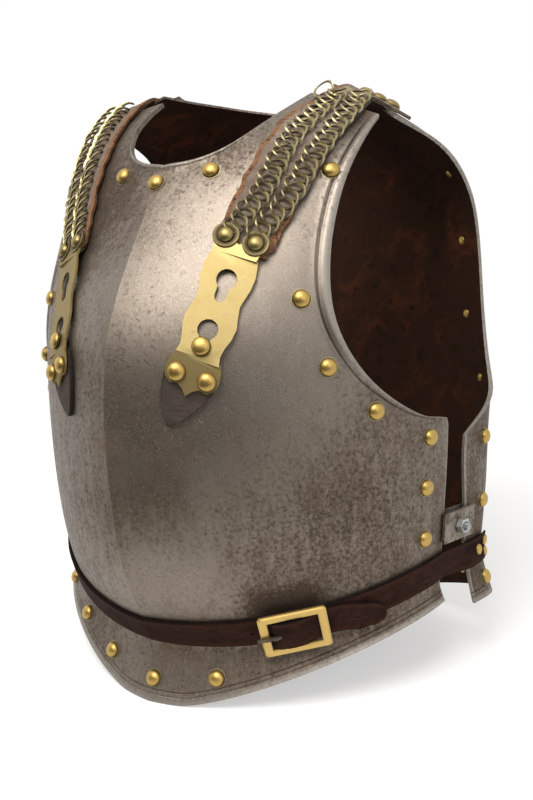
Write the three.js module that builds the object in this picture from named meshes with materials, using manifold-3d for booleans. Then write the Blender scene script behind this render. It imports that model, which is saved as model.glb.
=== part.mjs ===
// A cavalry cuirass: breastplate and backplate, chain-covered shoulder straps that hook on studs,
// a waist belt with its buckle, and a bolted clamp at each side.
// Millimetres, +Z up. The wearer faces -Y and the wearer's left is +X.
// The origin is on the ground, under the middle of the object's box.
import * as THREE from 'three';
import { mergeVertices } from 'three/addons/utils/BufferGeometryUtils.js';
import Module from 'manifold-3d';

const wasm = await Module();
wasm.setup();

// Breastplate
const breastWall = 3;
const breastHeight = 425;
const breastDepth = 175.5;
const breastHalfWidth = 167.6;
const breastKeel = 15;
const breastFlare = 16;
const breastSideFlare = 4;
const breastWaistHeight = 38;
const breastWaistSideRise = 28;
const breastFlangeSideRise = 54;

// Backplate
const backWall = 2;
const backHeight = 456;
const backDepth = 134;
const backHalfWidth = 172;
const backBulge = 18;
const backFlare = 18;
const backSideFlare = 9;
const backWaistHeight = 60;
const backWaistSideHeight = 92;
const backFlangeSideRise = 46;
const backFrontEdge = 10;

// How the flange of either plate rises towards the sides, and how it curves outwards
const rimRisePower = 1.25;
const flarePower = 1.3;
const breastWaistRisePower = 4.4;

// Turned edges of both plates
const armBeadWidth = 5.5;
const armBeadHeight = 1.6;
const neckBeadWidth = 4;
const neckBeadHeight = 1.1;
const neckBeadTop = 395;
const armBeadTop = 368;
const beadFade = 22;
const beadShares = [[0, 0], [0.3, 0.9], [0.72, 0.9], [1, 0]];

// Domed rivets, as they stand on a plate
const rivetRadius = 5.1;
const rivetRise = 3.6;
const rivetSink = 1.5;
const flangeRivetInset = 14;
const beltRivetRadius = 4;
const shankRadius = 1.8;
const rivetRimShare = 0.3;
const rivetBrowShare = 0.76;
const rivetBrowRiseShare = 0.72;

// Clearance between pieces that touch, and the overrun of a cut
const seatGap = 0.3;
const clothGap = 0.9;
const cutOverrun = 2;

// Shoulder strap
const strapWidth = 45;
const strapThickness = 2.5;
const strapSpineOffset = -3;
const strapDrift = 12.5;
const chainRowSpacing = 16.5;
const chainShift = 4;
const lugOffset = -1;
const chainStartRoom = 14;
const chainEndRoom = 17;
const lugRivetSpacing = 12.5;

// Chain rings
const ringRadius = 5.75;
const ringWire = 1.6;
const ringLeanDegrees = 20;
const ringBite = 0.35;

// End plate of the strap, with its two keyholes
const endPlateThickness = 1.5;
const endPlateHalfWidth = 14.6;
const endPlateWaistHalfWidth = 13.2;
const endPlateShoulderHalfWidth = 17;
const endPlateUpperLength = 38;
const endPlateLowerLength = 33.5;
const upperTabLength = 14;
const lowerTabLength = 22;
const endPlateRide = 1.4;
const keyholeRadius = 6.6;
const slotWidth = 7.6;
const keyholeTravel = 11.3;
const keyholeSpacing = 33.6;
const studPlace = 24.7;
const studHeadRadius = 5.95;
const studHeadRise = 6;
const studNeckRadius = 3.1;
const endRivetSpacing = 20;
const upperRivetSetback = 8.5;
const lowerRivetSetback = 9.5;
const lobeRadius = 7.6;
const studTailRadius = 4.2;
const studTailThickness = 1.2;
const endPlateSideShares = [[0.08, 0.7], [0.17, 1], [0.28, 0.9], [0.37, 0.5], [0.45, 0.2], [0.55, 0.55], [0.64, 0.98],
  [0.74, 0.8], [0.83, 0.25], [0.91, 0]];
const lobeTurnShares = [-0.5, 2.2];
const lowerTabShares = [[1, 0.12], [1.02, 0.4], [0.94, 0.62], [0.72, 0.76], [0.42, 0.72], [0.2, 0.82]];

// Leather leaf under the end plate
const leafHalfWidth = 17;
const leafLength = 45;
const leafThickness = 2.5;
const leafGap = 0.5;
const leafShares = [[0, 0.86], [0.18, 0.98], [0.36, 0.95], [0.54, 0.82], [0.72, 0.6], [0.88, 0.34], [1, 0.06]];

// Waist belt
const beltWidth = 20;
const beltThickness = 2.4;
const beltCentreHeight = 52;
const beltSideRise = 30;
const seatLift = 0.6;
const waistCurveRadius = 120;
const beltBackShares = [1, 0.975, 0.95, 0.92, 0.87, 0.82];
const beltRisePower = 2.4;
const beltRivetShares = [[0.93, 0], [0.855, 0.45], [0.855, -0.45]];

// Buckle on the waist belt
const buckleWidth = 46;
const buckleHeight = 33.5;
const buckleBar = 6;
const buckleRail = 5.4;
const buckleThickness = 2.6;
const buckleStandOff = 6.6;
const buckleBarRadius = 1.2;
const buckleBarStandOff = 4.6;
const bucklePlaceShare = 0.455;
const tongueWidth = 2.6;
const tongueThickness = 1.8;
const tongueEyeRadius = 2.9;
const tongueHeelShares = [[-0.95, 0], [-0.35, 0.8]];
const tonguePointShare = 0.7;
const tongueHoleLength = 11.5;
const tongueHoleSetback = 6.7;
const tongueOverhang = 2.5;
const tongueNotchReach = 1;
const eyeRadius = 3.4;
const eyeSeatShare = 0.1;
const humpHeight = 8;
const buckleHumpShares = [[-1.5, 0], [-0.75, 0.05], [-0.55, 0.3], [-0.25, 0.85], [0, 1], [0.25, 0.9], [0.6, 0.48],
  [0.9, 0.36], [1.2, 0.35], [1.6, 0.35]];

// Side clamp
const clampLength = 37;
const clampHeight = 22;
const clampThickness = 2;
const clampAboveBelt = 5;
const clampSeat = 1;
const clampBreastPlace = 0.975;
const clampBackPlace = 0.965;
const boltRadius = 3;
const boltSlack = 0.4;
const nutAcrossFlats = 10;
const nutThickness = 5;
const boltHeadThickness = 4;
const boltStickOut = 2.5;

// How finely the plates are divided
const breastColumns = 10;
const breastRows = 16;
const backColumns = 9;
const backRows = 14;
const flangeRows = 3;
const rivetSides = 8;
const ringSegments = 8;
const wireSides = 3;
const keyholeSteps = 12;
const lobeSteps = 6;
const eyeSteps = 6;
const strapRows = 11;
const beltRows = 12;
const lineSteps = 40;
const mergeShare = 1e-4;

// Forms of the two plates, from the waist (0) to the top (1) of each, as shares of its own sizes
const breastRidgeShares = [
  [0.09, 0.763], [0.2, 0.92], [0.3, 0.978], [0.4, 1], [0.5, 0.997], [0.59, 0.96],
  [0.68, 0.862], [0.776, 0.71], [0.86, 0.566], [0.94, 0.33], [1, 0.01],
];
const breastWidthShares = [[0.09, 0.953], [0.15, 0.962], [0.3, 0.985], [0.44, 1], [0.6, 0.99], [0.78, 0.965],
  [0.94, 0.88], [1, 0.865]];
const breastSideShares = [[0.09, 0.074], [0.44, 0.074], [0.6, 0.074], [0.78, 0.085], [0.94, 0.012], [1, -0.1]];
const breastFullness = [[0.09, 1.67], [0.25, 1.74], [0.45, 1.72], [0.65, 1.74], [0.85, 1.62], [1, 1.6]];
const breastKeelShares = [[0.09, 0], [0.2, 0.8], [0.3, 1], [0.6, 1], [0.75, 0.6], [0.85, 0.14], [1, 0]];
const breastArmShares = [[1, 0.4424], [0.95, 0.464], [0.834, 0.532], [0.745, 0.625], [0.715, 0.72],
  [0.735, 0.8], [0.845, 0.935]];
const breastNeckShares = [[0, 0.859], [0.16, 0.868], [0.275, 0.888], [0.36, 0.92], [0.42, 0.955], [0.455, 0.985]];

const backSpineShares = [[0, 0.686], [0.2, 0.82], [0.4, 0.94], [0.6, 0.985], [0.8, 0.9], [0.9, 0.62], [1, 0.015]];
const backSpineHeightShares = [[0, 0.1316], [0.2, 0.29], [0.4, 0.465], [0.6, 0.66], [0.8, 0.85], [0.9, 0.936], [1, 0.969]];
const backSideHeightShares = [[0, 0.2018], [0.2, 0.29], [0.4, 0.377], [0.6, 0.487], [0.8, 0.622], [0.9, 0.7], [1, 0.788]];
const backFrontEdgeShares = [[0, 1.1], [0.4, 1], [0.8, 1.2], [0.9, 0.9], [1, 0.2]];
const backWidthShares = [[0, 0.994], [0.2, 0.997], [0.4, 1], [0.6, 1.045], [0.8, 1.05], [0.9, 1], [1, 0.89]];
const backFullness = [[0, 2.5], [0.3, 2.6], [0.6, 2.5], [0.8, 2.2], [0.9, 1.9], [1, 1.7]];
const backBulgeShares = [[0, 0.9], [0.3, 1], [0.6, 0.78], [0.8, 0.45], [1, 0]];
const backArmShares = [[1, 0.4], [0.905, 0.445], [0.845, 0.53], [0.805, 0.66], [0.79, 0.8], [0.78, 0.9], [0.815, 1]];
const backNeckShares = [[0, 0.868], [0.14, 0.878], [0.3, 0.905], [0.42, 0.95], [0.5, 1]];

// Rivets on the body of each plate, and along its flange
const breastRivetShares = [[0, 0.8306], [0.2375, 0.8457], [0.645, 0.65], [0.731, 0.549],
  [0.853, 0.4765], [0.7, 0.84], [0.975, 0.4207], [0.971, 0.339], [0.973, 0.252]];
const breastFlangeRivetShares = [0, 0.28];
const breastRightFlangeRivetShares = [0.54, 0.78, 0.945];
const backRivetShares = [[0, 0.815], [0.2, 0.83], [0.7, 0.8], [0.72, 0.66], [0.76, 0.52],
  [0.86, 0.41], [0.985, 0.33], [0.985, 0.14]];
const backFlangeRivetShares = [0, 0.3, 0.56, 0.8, 0.985];

// Strap route on the breastplate, from the end plate to the shoulder, and over the backplate's shoulder
const strapRouteShares = [[0.4375, 0.7175], [0.455, 0.75], [0.49, 0.8], [0.525, 0.85], [0.565, 0.9], [0.6, 0.94],
  [0.612, 0.972]];
const strapBackShares = [[0.612, 1], [0.607, 0.985]];
// How far the strap has drifted outwards, and how wide it is, from the end plate (0) to its end (1)
const strapDriftShares = [[0, 0], [0.25, 0.26], [0.5, 0.42], [0.7, 0.74], [0.85, 1], [1, 0.85]];
const strapWidthShares = [[0, 0.82], [0.2, 0.93], [0.5, 1], [0.7, 0.96], [0.85, 0.86], [1, 0.84]];
const lugShares = [[0.603, 0.98], [0.6, 0.958], [0.596, 0.935]];
const endPlateCentreShares = [0.382, 0.638];
const endPlateAimShares = [0.325, 0.545];

const { PI, sin, cos, asin, sqrt, min, max, abs, round } = Math;
const quarter = PI / 2;
const degree = PI / 180;
const V = (x, y, z) => new THREE.Vector3(x, y, z);
const up = V(0, 0, 1);

// A smooth curve through a table of [place, value], whose bending is continuous
function curveThrough(table) {
  const n = table.length;
  const bend = new Array(n).fill(0);
  const work = new Array(n).fill(0);
  for (let i = 1; i < n - 1; i += 1) {
    const before = table[i][0] - table[i - 1][0];
    const after = table[i + 1][0] - table[i][0];
    const share = before / (before + after);
    const pivot = share * bend[i - 1] + 2;
    const jump = (table[i + 1][1] - table[i][1]) / after - (table[i][1] - table[i - 1][1]) / before;
    bend[i] = (share - 1) / pivot;
    work[i] = (6 * jump / (before + after) - share * work[i - 1]) / pivot;
  }
  for (let i = n - 2; i >= 0; i -= 1) bend[i] = bend[i] * bend[i + 1] + work[i];
  return place => {
    let i = 0;
    while (i < n - 2 && place > table[i + 1][0]) i += 1;
    const span = table[i + 1][0] - table[i][0];
    const a = (table[i + 1][0] - place) / span;
    const b = 1 - a;
    const cubic = ((a ** 3 - a) * bend[i] + (b ** 3 - b) * bend[i + 1]) * span * span / 6;
    return a * table[i][1] + b * table[i + 1][1] + cubic;
  };
}

// Both plates are rows of rounded sections that lean from level at the waist to upright at the shoulder
const breastForm = (() => {
  const ridge = curveThrough(breastRidgeShares);
  const width = curveThrough(breastWidthShares);
  const side = curveThrough(breastSideShares);
  const fullness = curveThrough(breastFullness);
  const keel = curveThrough(breastKeelShares);
  return t => ({
    half: breastHalfWidth * width(t),
    spine: [-breastDepth * ridge(t), breastHeight * t],
    side: [-breastDepth * side(t), breastHeight * t],
    fullness: fullness(t),
    keel: breastKeel * max(keel(t), 0),
    bulge: 0,
  });
})();

const backForm = (() => {
  const spine = curveThrough(backSpineShares);
  const spineHeight = curveThrough(backSpineHeightShares);
  const sideHeight = curveThrough(backSideHeightShares);
  const edge = curveThrough(backFrontEdgeShares);
  const width = curveThrough(backWidthShares);
  const fullness = curveThrough(backFullness);
  const bulge = curveThrough(backBulgeShares);
  return t => ({
    half: backHalfWidth * width(t),
    spine: [backDepth * spine(t), backHeight * spineHeight(t)],
    side: [backFrontEdge * edge(t), backHeight * sideHeight(t)],
    fullness: fullness(t),
    keel: 0,
    bulge: backBulge * bulge(t),
  });
})();

const signedPower = (base, power) => Math.sign(base) * abs(base) ** power;

// q runs along a section from the centre line (0) to the side (1)
function sectionPoint(form, q, t) {
  const f = form(t);
  const s = signedPower(sin(q * quarter), 2 / f.fullness);
  const g = signedPower(cos(q * quarter), 2 / f.fullness);
  const away = Math.sign(f.spine[0] - f.side[0]);
  const spineY = f.spine[0] - away * f.keel;
  const swell = f.bulge * sin(q * quarter) ** 2 * sin(q * PI);
  return V(
    f.half * s + swell,
    f.side[0] + (spineY - f.side[0]) * g + away * f.keel * (1 - abs(s)) ** 2,
    f.side[1] + (f.spine[1] - f.side[1]) * g,
  );
}
const toQ = (form, s, t) => asin(min(max(s, 0), 1) ** (form(t).fullness / 2)) / quarter;
const surfaceAt = (form, s, t) => sectionPoint(form, toQ(form, s, t), t);

const core = V(0, 0, breastHeight / 2);
const partShare = 0.004;

// Outward normal at a place of any surface that two numbers run over
function normalOf(at, a, b) {
  const across = at(a + partShare, b).sub(at(a - partShare, b));
  const up = at(a, b + partShare).sub(at(a, b - partShare));
  const normal = across.cross(up).normalize();
  if (normal.dot(at(a, b).sub(core)) < 0) normal.negate();
  return normal;
}
const inRange = q => min(max(q, 2 * partShare), 1 - 2 * partShare);
const normalAt = (form, s, t) => normalOf((q, h) => sectionPoint(form, q, h), inRange(toQ(form, s, t)), t);

// Points at even distances along a polyline of [q, t] pairs
function evenly(form, line) {
  const reach = [0];
  for (let i = 1; i < line.length; i += 1) {
    reach.push(reach[i - 1] + sectionPoint(form, ...line[i]).distanceTo(sectionPoint(form, ...line[i - 1])));
  }
  const total = reach[reach.length - 1];
  const at = share => {
    const want = share * total;
    let i = 1;
    while (i < line.length - 1 && reach[i] < want) i += 1;
    const part = (want - reach[i - 1]) / (reach[i] - reach[i - 1]);
    return mix(line[i - 1], line[i], part);
  };
  return { at, total };
}
const mix = (a, b, part) => a.map((value, k) => value + (b[k] - value) * part);
const straight = (a, b) => Array.from({ length: lineSteps + 1 }, (_, i) => mix(a, b, i / lineSteps));

// A smooth line through a table of [s, t] shares
function outline(form, table) {
  const points = table.map(([s, t]) => V(toQ(form, s, t), t, 0));
  const curve = new THREE.CatmullRomCurve3(points, false, 'centripetal');
  return curve.getPoints(lineSteps).map(p => [p.x, p.y]);
}

// The two plates, each with its waist crease and the flange that flares out below it
function makePlate(spec) {
  const { form } = spec;
  const shareAt = q => sin(min(max(q, 0), 1) * quarter) ** (2 / form(spec.waistAt(q)).fullness);
  const crease = q => sectionPoint(form, q, spec.waistAt(q));
  const rimHeight = q => spec.flangeSideRise * (max(0, shareAt(q) - spec.flatShare) / (1 - spec.flatShare)) ** rimRisePower;
  function flange(q, down) {
    const top = crease(q);
    const along = crease(q + partShare).sub(crease(q - partShare));
    const out = V(spec.facing * -along.y, spec.facing * along.x, 0).normalize();
    const flare = spec.flare + (spec.sideFlare - spec.flare) * shareAt(q);
    return top.clone().addScaledVector(out, flare * down ** flarePower).setZ(top.z - (top.z - rimHeight(q)) * down);
  }
  // The skin by the place round the body and the height, over the body or the flange
  function skin(q, height) {
    const top = crease(q).z;
    if (height < top) return flange(q, (top - height) / (top - rimHeight(q)));
    let [low, high] = [spec.waistAt(q), 1];
    for (let i = 0; i < lineSteps; i += 1) {
      const middle = (low + high) / 2;
      if (sectionPoint(form, q, middle).z < height) low = middle;
      else high = middle;
    }
    return sectionPoint(form, q, low);
  }
  return { ...spec, shareAt, crease, rimHeight, flange, skin };
}
const breast = makePlate({
  form: breastForm,
  facing: -1,
  wall: breastWall,
  waistAt: q => (breastWaistHeight
    + breastWaistSideRise * sin(min(max(q, 0), 1) * quarter) ** (breastWaistRisePower / breastFullness[0][1])) / breastHeight,
  flare: breastFlare,
  sideFlare: breastSideFlare,
  flangeSideRise: breastFlangeSideRise,
  flatShare: 0.13,
  arm: breastArmShares,
  neck: breastNeckShares,
  columns: breastColumns,
  rows: breastRows,
  bodyRivets: breastRivetShares,
  flangeRivets: breastFlangeRivetShares,
  rightFlangeRivets: breastRightFlangeRivetShares,
});
const back = makePlate({
  form: backForm,
  facing: 1,
  wall: backWall,
  waistAt: () => 0,
  flare: backFlare,
  sideFlare: backSideFlare,
  flangeSideRise: backFlangeSideRise,
  flatShare: 0.2,
  arm: backArmShares,
  neck: backNeckShares,
  columns: backColumns,
  rows: backRows,
  bodyRivets: backRivetShares,
  flangeRivets: backFlangeRivetShares,
  rightFlangeRivets: [],
});

// Half of a plate's outer face as rows of points: flange, body, and the turned edges of arm and neck
function halfRows(plate) {
  const { form, waistAt, arm, neck } = plate;
  const corner = [toQ(form, ...arm[0]), arm[0][1]];
  const low = evenly(form, Array.from({ length: lineSteps + 1 }, (_, i) => [i / lineSteps, waistAt(i / lineSteps)]));
  const middle = evenly(form, straight([0, waistAt(0)], [0, neck[0][1]]));
  const sideEdge = evenly(form, straight([1, waistAt(1)], corner));
  const armEdge = evenly(form, outline(form, arm));
  const neckEdge = evenly(form, outline(form, neck));
  const shoulder = evenly(form, straight(neckEdge.at(1), armEdge.at(1)));
  const sideShare = sideEdge.total / (sideEdge.total + armEdge.total);
  const bend = round(plate.rows * sideShare) / plate.rows;
  const turn = round(plate.columns * neckEdge.total / (neckEdge.total + shoulder.total)) / plate.columns;
  const right = v => (v <= bend ? sideEdge.at(v / bend) : armEdge.at((v - bend) / (1 - bend)));
  const top = u => (u <= turn ? neckEdge.at(u / turn) : shoulder.at((u - turn) / (1 - turn)));
  const place = (u, v) => {
    const across = mix(middle.at(v), right(v), u);
    const along = mix(low.at(u), top(u), v);
    const corners = mix(mix(low.at(0), low.at(1), u), mix(top(0), top(1), u), v);
    return across.map((value, k) => value + along[k] - corners[k]);
  };
  const lengthOf = (from, to) => {
    const line = straight(from, to).map(([u, v]) => place(u, v));
    return evenly(form, line).total;
  };
  // Even places, with close ones over a turned edge at the far end
  const spaced = (count, edge, length) => {
    const last = 1 - edge / length;
    const places = Array.from({ length: count + 1 }, (_, i) => last * i / count);
    return [...places, ...beadShares.slice(1).map(([across]) => last + (1 - last) * across)];
  };
  const rows = spaced(plate.rows, neckBeadWidth, lengthOf([0, 0], [0, 1]));
  const points = rows.map((v, j) => {
    const columns = spaced(plate.columns, armBeadWidth, lengthOf([0, v], [1, v]));
    return columns.map((u, i) => {
      const [q, t] = place(u, v);
      const bare = sectionPoint(form, q, t);
      const neckFade = i <= round(turn * plate.columns) ? max(0, min(1, (neckBeadTop - bare.z) / beadFade)) : 0;
      const armTop = plate.facing < 0 ? armBeadTop : neckBeadTop;
      const armFade = max(0, min(1, (v - bend) * plate.rows / 2, (armTop - bare.z) / beadFade));
      const armLift = i > plate.columns ? armBeadHeight * armFade * beadShares[i - plate.columns][1] : 0;
      const neckLift = j > plate.rows ? neckBeadHeight * neckFade * beadShares[j - plate.rows][1] : 0;
      return { bare, q, lift: max(armLift, neckLift) };
    });
  });
  const flange = Array.from({ length: flangeRows }, (_, k) => points[0].map(({ q }) => (
    { bare: plate.flange(q, 1 - k / flangeRows), q, lift: 0 }
  )));
  return [...flange, ...points];
}

// The whole plate with its wall, its rivet heads and the holes that other pieces pass through
function plateGeometry(plate, holes) {
  const mirrored = ({ bare, lift }) => ({ bare: V(-bare.x, bare.y, bare.z), lift });
  const grid = halfRows(plate).map(row => [...row.slice(1).reverse().map(mirrored), ...row]);
  const bare = grid.map(row => row.map(place => place.bare));
  const normals = gridNormals(bare).map((row, j) => row.map(n => {
    const outward = plate.facing > 0 ? n.negate() : n;
    return j === 0 ? outward.setZ(0).normalize() : outward;
  }));
  const outer = grid.map((row, j) => row.map(({ bare: p, lift }, i) => p.clone().addScaledVector(normals[j][i], lift)));
  const inner = grid.map((row, j) => row.map(({ bare: p }, i) => (
    p.clone().addScaledVector(normals[j][i], -plate.wall)
  )));
  const head = rivetHead(rivetRadius, rivetRise, rivetSink);
  const seats = [];
  for (const [s, t] of plate.bodyRivets) {
    const q = toQ(plate.form, s, t);
    seats.push([sectionPoint(plate.form, q, t), normalAt(plate.form, s, t)]);
  }
  for (const s of [...plate.flangeRivets, ...plate.rightFlangeRivets]) {
    const q = toQ(plate.form, s, plate.waistAt(s));
    const down = 1 - min(flangeRivetInset / (plate.crease(q).z - plate.rimHeight(q)), 1 / 2);
    const rightOnly = plate.rightFlangeRivets.includes(s);
    seats.push([plate.flange(q, down), normalOf(plate.flange, inRange(q), down), rightOnly]);
  }
  const rivets = [];
  for (const [point, normal, rightOnly] of seats) {
    if (point.x > rivetRadius) {
      if (!rightOnly) rivets.push(placed(head, frameAt(point, normal, up)));
      rivets.push(placed(head, frameAt(flipX(point), flipX(normal), up)));
    } else {
      rivets.push(placed(head, frameAt(point.setX(0), normal.setX(0), up)));
    }
  }
  const body = joined([sheet(outer, inner), ...rivets]);
  return holes.length ? cut(body, holes) : body;
}

// A closed sheet between two grids of points, with a wall all round its rim
function sheet(outer, inner) {
  const rows = outer.length;
  const columns = outer[0].length;
  const positions = [];
  for (const grid of [outer, inner]) {
    for (const row of grid) for (const p of row) positions.push(p.x, p.y, p.z);
  }
  const index = [];
  const id = (side, j, i) => side * rows * columns + j * columns + i;
  const quad = (a, b, c, d) => index.push(a, b, c, a, c, d);
  for (let j = 0; j < rows - 1; j += 1) {
    for (let i = 0; i < columns - 1; i += 1) {
      quad(id(0, j, i), id(0, j, i + 1), id(0, j + 1, i + 1), id(0, j + 1, i));
      quad(id(1, j, i), id(1, j + 1, i), id(1, j + 1, i + 1), id(1, j, i + 1));
    }
  }
  for (let i = 0; i < columns - 1; i += 1) {
    quad(id(0, 0, i), id(1, 0, i), id(1, 0, i + 1), id(0, 0, i + 1));
    quad(id(0, rows - 1, i), id(0, rows - 1, i + 1), id(1, rows - 1, i + 1), id(1, rows - 1, i));
  }
  for (let j = 0; j < rows - 1; j += 1) {
    quad(id(0, j, 0), id(0, j + 1, 0), id(1, j + 1, 0), id(1, j, 0));
    quad(id(0, j, columns - 1), id(1, j, columns - 1), id(1, j + 1, columns - 1), id(0, j + 1, columns - 1));
  }
  const geometry = new THREE.BufferGeometry();
  geometry.setAttribute('position', new THREE.Float32BufferAttribute(positions, 3));
  geometry.setIndex(index);
  return rightWayOut(geometry);
}

// Unit normals of a grid of points, from its neighbours
function gridNormals(grid) {
  return grid.map((row, j) => row.map((point, i) => {
    const left = row[max(i - 1, 0)];
    const right = row[min(i + 1, row.length - 1)];
    const below = grid[max(j - 1, 0)][i];
    const above = grid[min(j + 1, grid.length - 1)][i];
    return right.clone().sub(left).cross(above.clone().sub(below)).normalize();
  }));
}

// Solids, and their joins and cuts
function toSolid(geometry) {
  const plain = geometry.clone();
  for (const name of Object.keys(plain.attributes)) if (name !== 'position') plain.deleteAttribute(name);
  const merged = mergeVertices(plain, mergeShare);
  return new wasm.Manifold(new wasm.Mesh({
    numProp: 3,
    vertProperties: new Float32Array(merged.attributes.position.array),
    triVerts: new Uint32Array(merged.index.array),
  }));
}
function toGeometry(solid) {
  const mesh = solid.getMesh();
  const geometry = new THREE.BufferGeometry();
  geometry.setAttribute('position', new THREE.Float32BufferAttribute(mesh.vertProperties, 3));
  geometry.setIndex(new THREE.Uint32BufferAttribute(mesh.triVerts, 1));
  return geometry;
}
function rightWayOut(geometry) {
  const p = geometry.attributes.position;
  const index = geometry.index.array;
  let volume = 0;
  for (let i = 0; i < index.length; i += 3) {
    const [a, b, c] = [0, 1, 2].map(k => V(0, 0, 0).fromBufferAttribute(p, index[i + k]));
    volume += a.dot(b.cross(c));
  }
  if (volume < 0) {
    for (let i = 0; i < index.length; i += 3) [index[i], index[i + 1]] = [index[i + 1], index[i]];
  }
  return geometry;
}
const joined = parts => toGeometry(parts.map(toSolid).reduce((a, b) => a.add(b)));
const cut = (body, tools) => toGeometry(tools.map(toSolid).reduce((a, b) => a.subtract(b), toSolid(body)));
const placed = (geometry, frame) => rightWayOut(indexed(geometry.clone().applyMatrix4(frame)));
const indexed = geometry => (geometry.index ? geometry : mergeVertices(stripped(geometry), mergeShare));
function stripped(geometry) {
  geometry.deleteAttribute('normal');
  geometry.deleteAttribute('uv');
  return geometry;
}
// A frame whose Z is the given normal and whose Y leans as near as it can to the given direction
function frameAt(origin, normal, toward) {
  const z = normal.clone().normalize();
  const y = toward.clone().addScaledVector(z, -toward.dot(z)).normalize();
  const x = y.clone().cross(z);
  return new THREE.Matrix4().makeBasis(x, y, z).setPosition(origin);
}
const shift = (x, y, z) => new THREE.Matrix4().makeTranslation(x, y, z);
const flipX = v => V(-v.x, v.y, v.z);
const lathe = profile => {
  const turned = new THREE.LatheGeometry(profile.map(([r, h]) => new THREE.Vector2(r, h)), rivetSides);
  return rightWayOut(mergeVertices(stripped(turned.rotateX(quarter)), mergeShare));
};
function extruded(points, depth, holes = []) {
  const shape = new THREE.Shape(points.map(([x, y]) => new THREE.Vector2(x, y)));
  for (const hole of holes) shape.holes.push(new THREE.Path(hole.map(([x, y]) => new THREE.Vector2(x, y))));
  return indexed(new THREE.ExtrudeGeometry(shape, { depth, bevelEnabled: false }));
}
const arcPoints = (x, y, radius, from, to, steps) => Array.from({ length: steps + 1 }, (_, i) => {
  const angle = from + (to - from) * i / steps;
  return [x + radius * cos(angle), y + radius * sin(angle)];
});

// Domed rivet heads: one that is worked from the plate, and one with a shank through what it holds
function rivetHead(radius, rise, sink) {
  return lathe([[0, -sink], [radius, -sink], [radius * rivetBrowShare, rise * rivetBrowRiseShare], [0, rise]]);
}
function fastener(radius, rise, shank, reach) {
  return lathe([[0, -reach], [shank, -reach], [shank, seatGap], [radius, seatGap], [radius,
    seatGap + rise * rivetRimShare], [radius * rivetBrowShare, seatGap + rise * rivetBrowRiseShare],
  [0, seatGap + rise]]);
}
const bore = (radius, above, below) => lathe([[0, -below], [radius, -below], [radius, above], [0, above]]);

// The place on a plate at a distance across a route, and the outward normal there
function besideRoute(form, [s, t], along, lateral, lift) {
  const at = (a, b) => surfaceAt(form, a, b);
  const here = at(s, t);
  const ds = at(s + partShare, t).sub(at(s - partShare, t)).divideScalar(2 * partShare);
  const dt = at(s, t + partShare).sub(at(s, t - partShare)).divideScalar(2 * partShare);
  const normal = normalAt(form, s, t);
  const side = along.clone().cross(normal).normalize();
  if (side.x < 0) side.negate();
  const [a, b, c] = [ds.dot(ds), ds.dot(dt), dt.dot(dt)];
  const [p, q] = [side.dot(ds) * lateral, side.dot(dt) * lateral];
  const det = a * c - b * b;
  const place = [s + (c * p - b * q) / det, t + (a * q - b * p) / det];
  const outward = normalAt(form, ...place);
  return { point: at(...place).addScaledVector(outward, lift), normal: outward, here };
}

// The strap's stations from the end plate to the shoulder, each on the plate that carries it
const stations = [
  ...smoothPlaces(strapRouteShares, strapRows).map(place => ({ form: breastForm, place })),
  ...strapBackShares.map(place => ({ form: backForm, place })),
];
function smoothPlaces(table, count) {
  const curve = new THREE.CatmullRomCurve3(table.map(([s, t]) => V(s, t, 0)));
  return curve.getPoints(count).map(p => [p.x, p.y]);
}
const centres = stations.map(({ form, place }) => surfaceAt(form, ...place));
const driftAt = curveThrough(strapDriftShares);
const widthAt = curveThrough(strapWidthShares);
// A line along the strap at a share of its half width from its middle
const strapLine = (share, lift) => stations.map(({ form, place }, i) => {
  const before = centres[max(i - 1, 0)];
  const after = centres[min(i + 1, centres.length - 1)];
  const part = i / (centres.length - 1);
  const lateral = strapSpineOffset + strapDrift * driftAt(part) + share * strapWidth / 2 * widthAt(part);
  return besideRoute(form, place, after.clone().sub(before), lateral, lift);
});
function ribbon(lines, thickness) {
  const outer = lines.map(line => line.map(({ point, normal }) => point.clone().addScaledVector(normal, thickness)));
  const inner = lines.map(line => line.map(({ point }) => point));
  return sheet(outer, inner);
}
const acrossStrap = [-1, -1 / 2, 0, 1 / 2, 1];
const strapLeather = () => ribbon(
  acrossStrap.map(share => strapLine(share, clothGap)),
  strapThickness,
);

// Chain of leaning rings, each hooked through the next
function ringGeometry(lean) {
  const positions = [];
  const index = [];
  for (let k = 0; k < ringSegments; k += 1) {
    const angle = 2 * PI * k / ringSegments;
    for (let j = 0; j < wireSides; j += 1) {
      const turn = 2 * PI * j / wireSides;
      const reach = ringRadius + ringWire / 2 * cos(turn);
      const height = ringWire / 2 * sin(turn);
      const across = reach * sin(angle);
      positions.push(across * cos(lean) - height * sin(lean), reach * cos(angle), across * sin(lean) + height * cos(lean));
    }
  }
  for (let k = 0; k < ringSegments; k += 1) {
    for (let j = 0; j < wireSides; j += 1) {
      const [a, b] = [k * wireSides + j, k * wireSides + (j + 1) % wireSides];
      const next = (k + 1) % ringSegments;
      const [c, d] = [next * wireSides + (j + 1) % wireSides, next * wireSides + j];
      index.push(a, b, c, a, c, d);
    }
  }
  const geometry = new THREE.BufferGeometry();
  geometry.setAttribute('position', new THREE.Float32BufferAttribute(positions, 3));
  geometry.setIndex(index);
  return rightWayOut(geometry);
}
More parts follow.
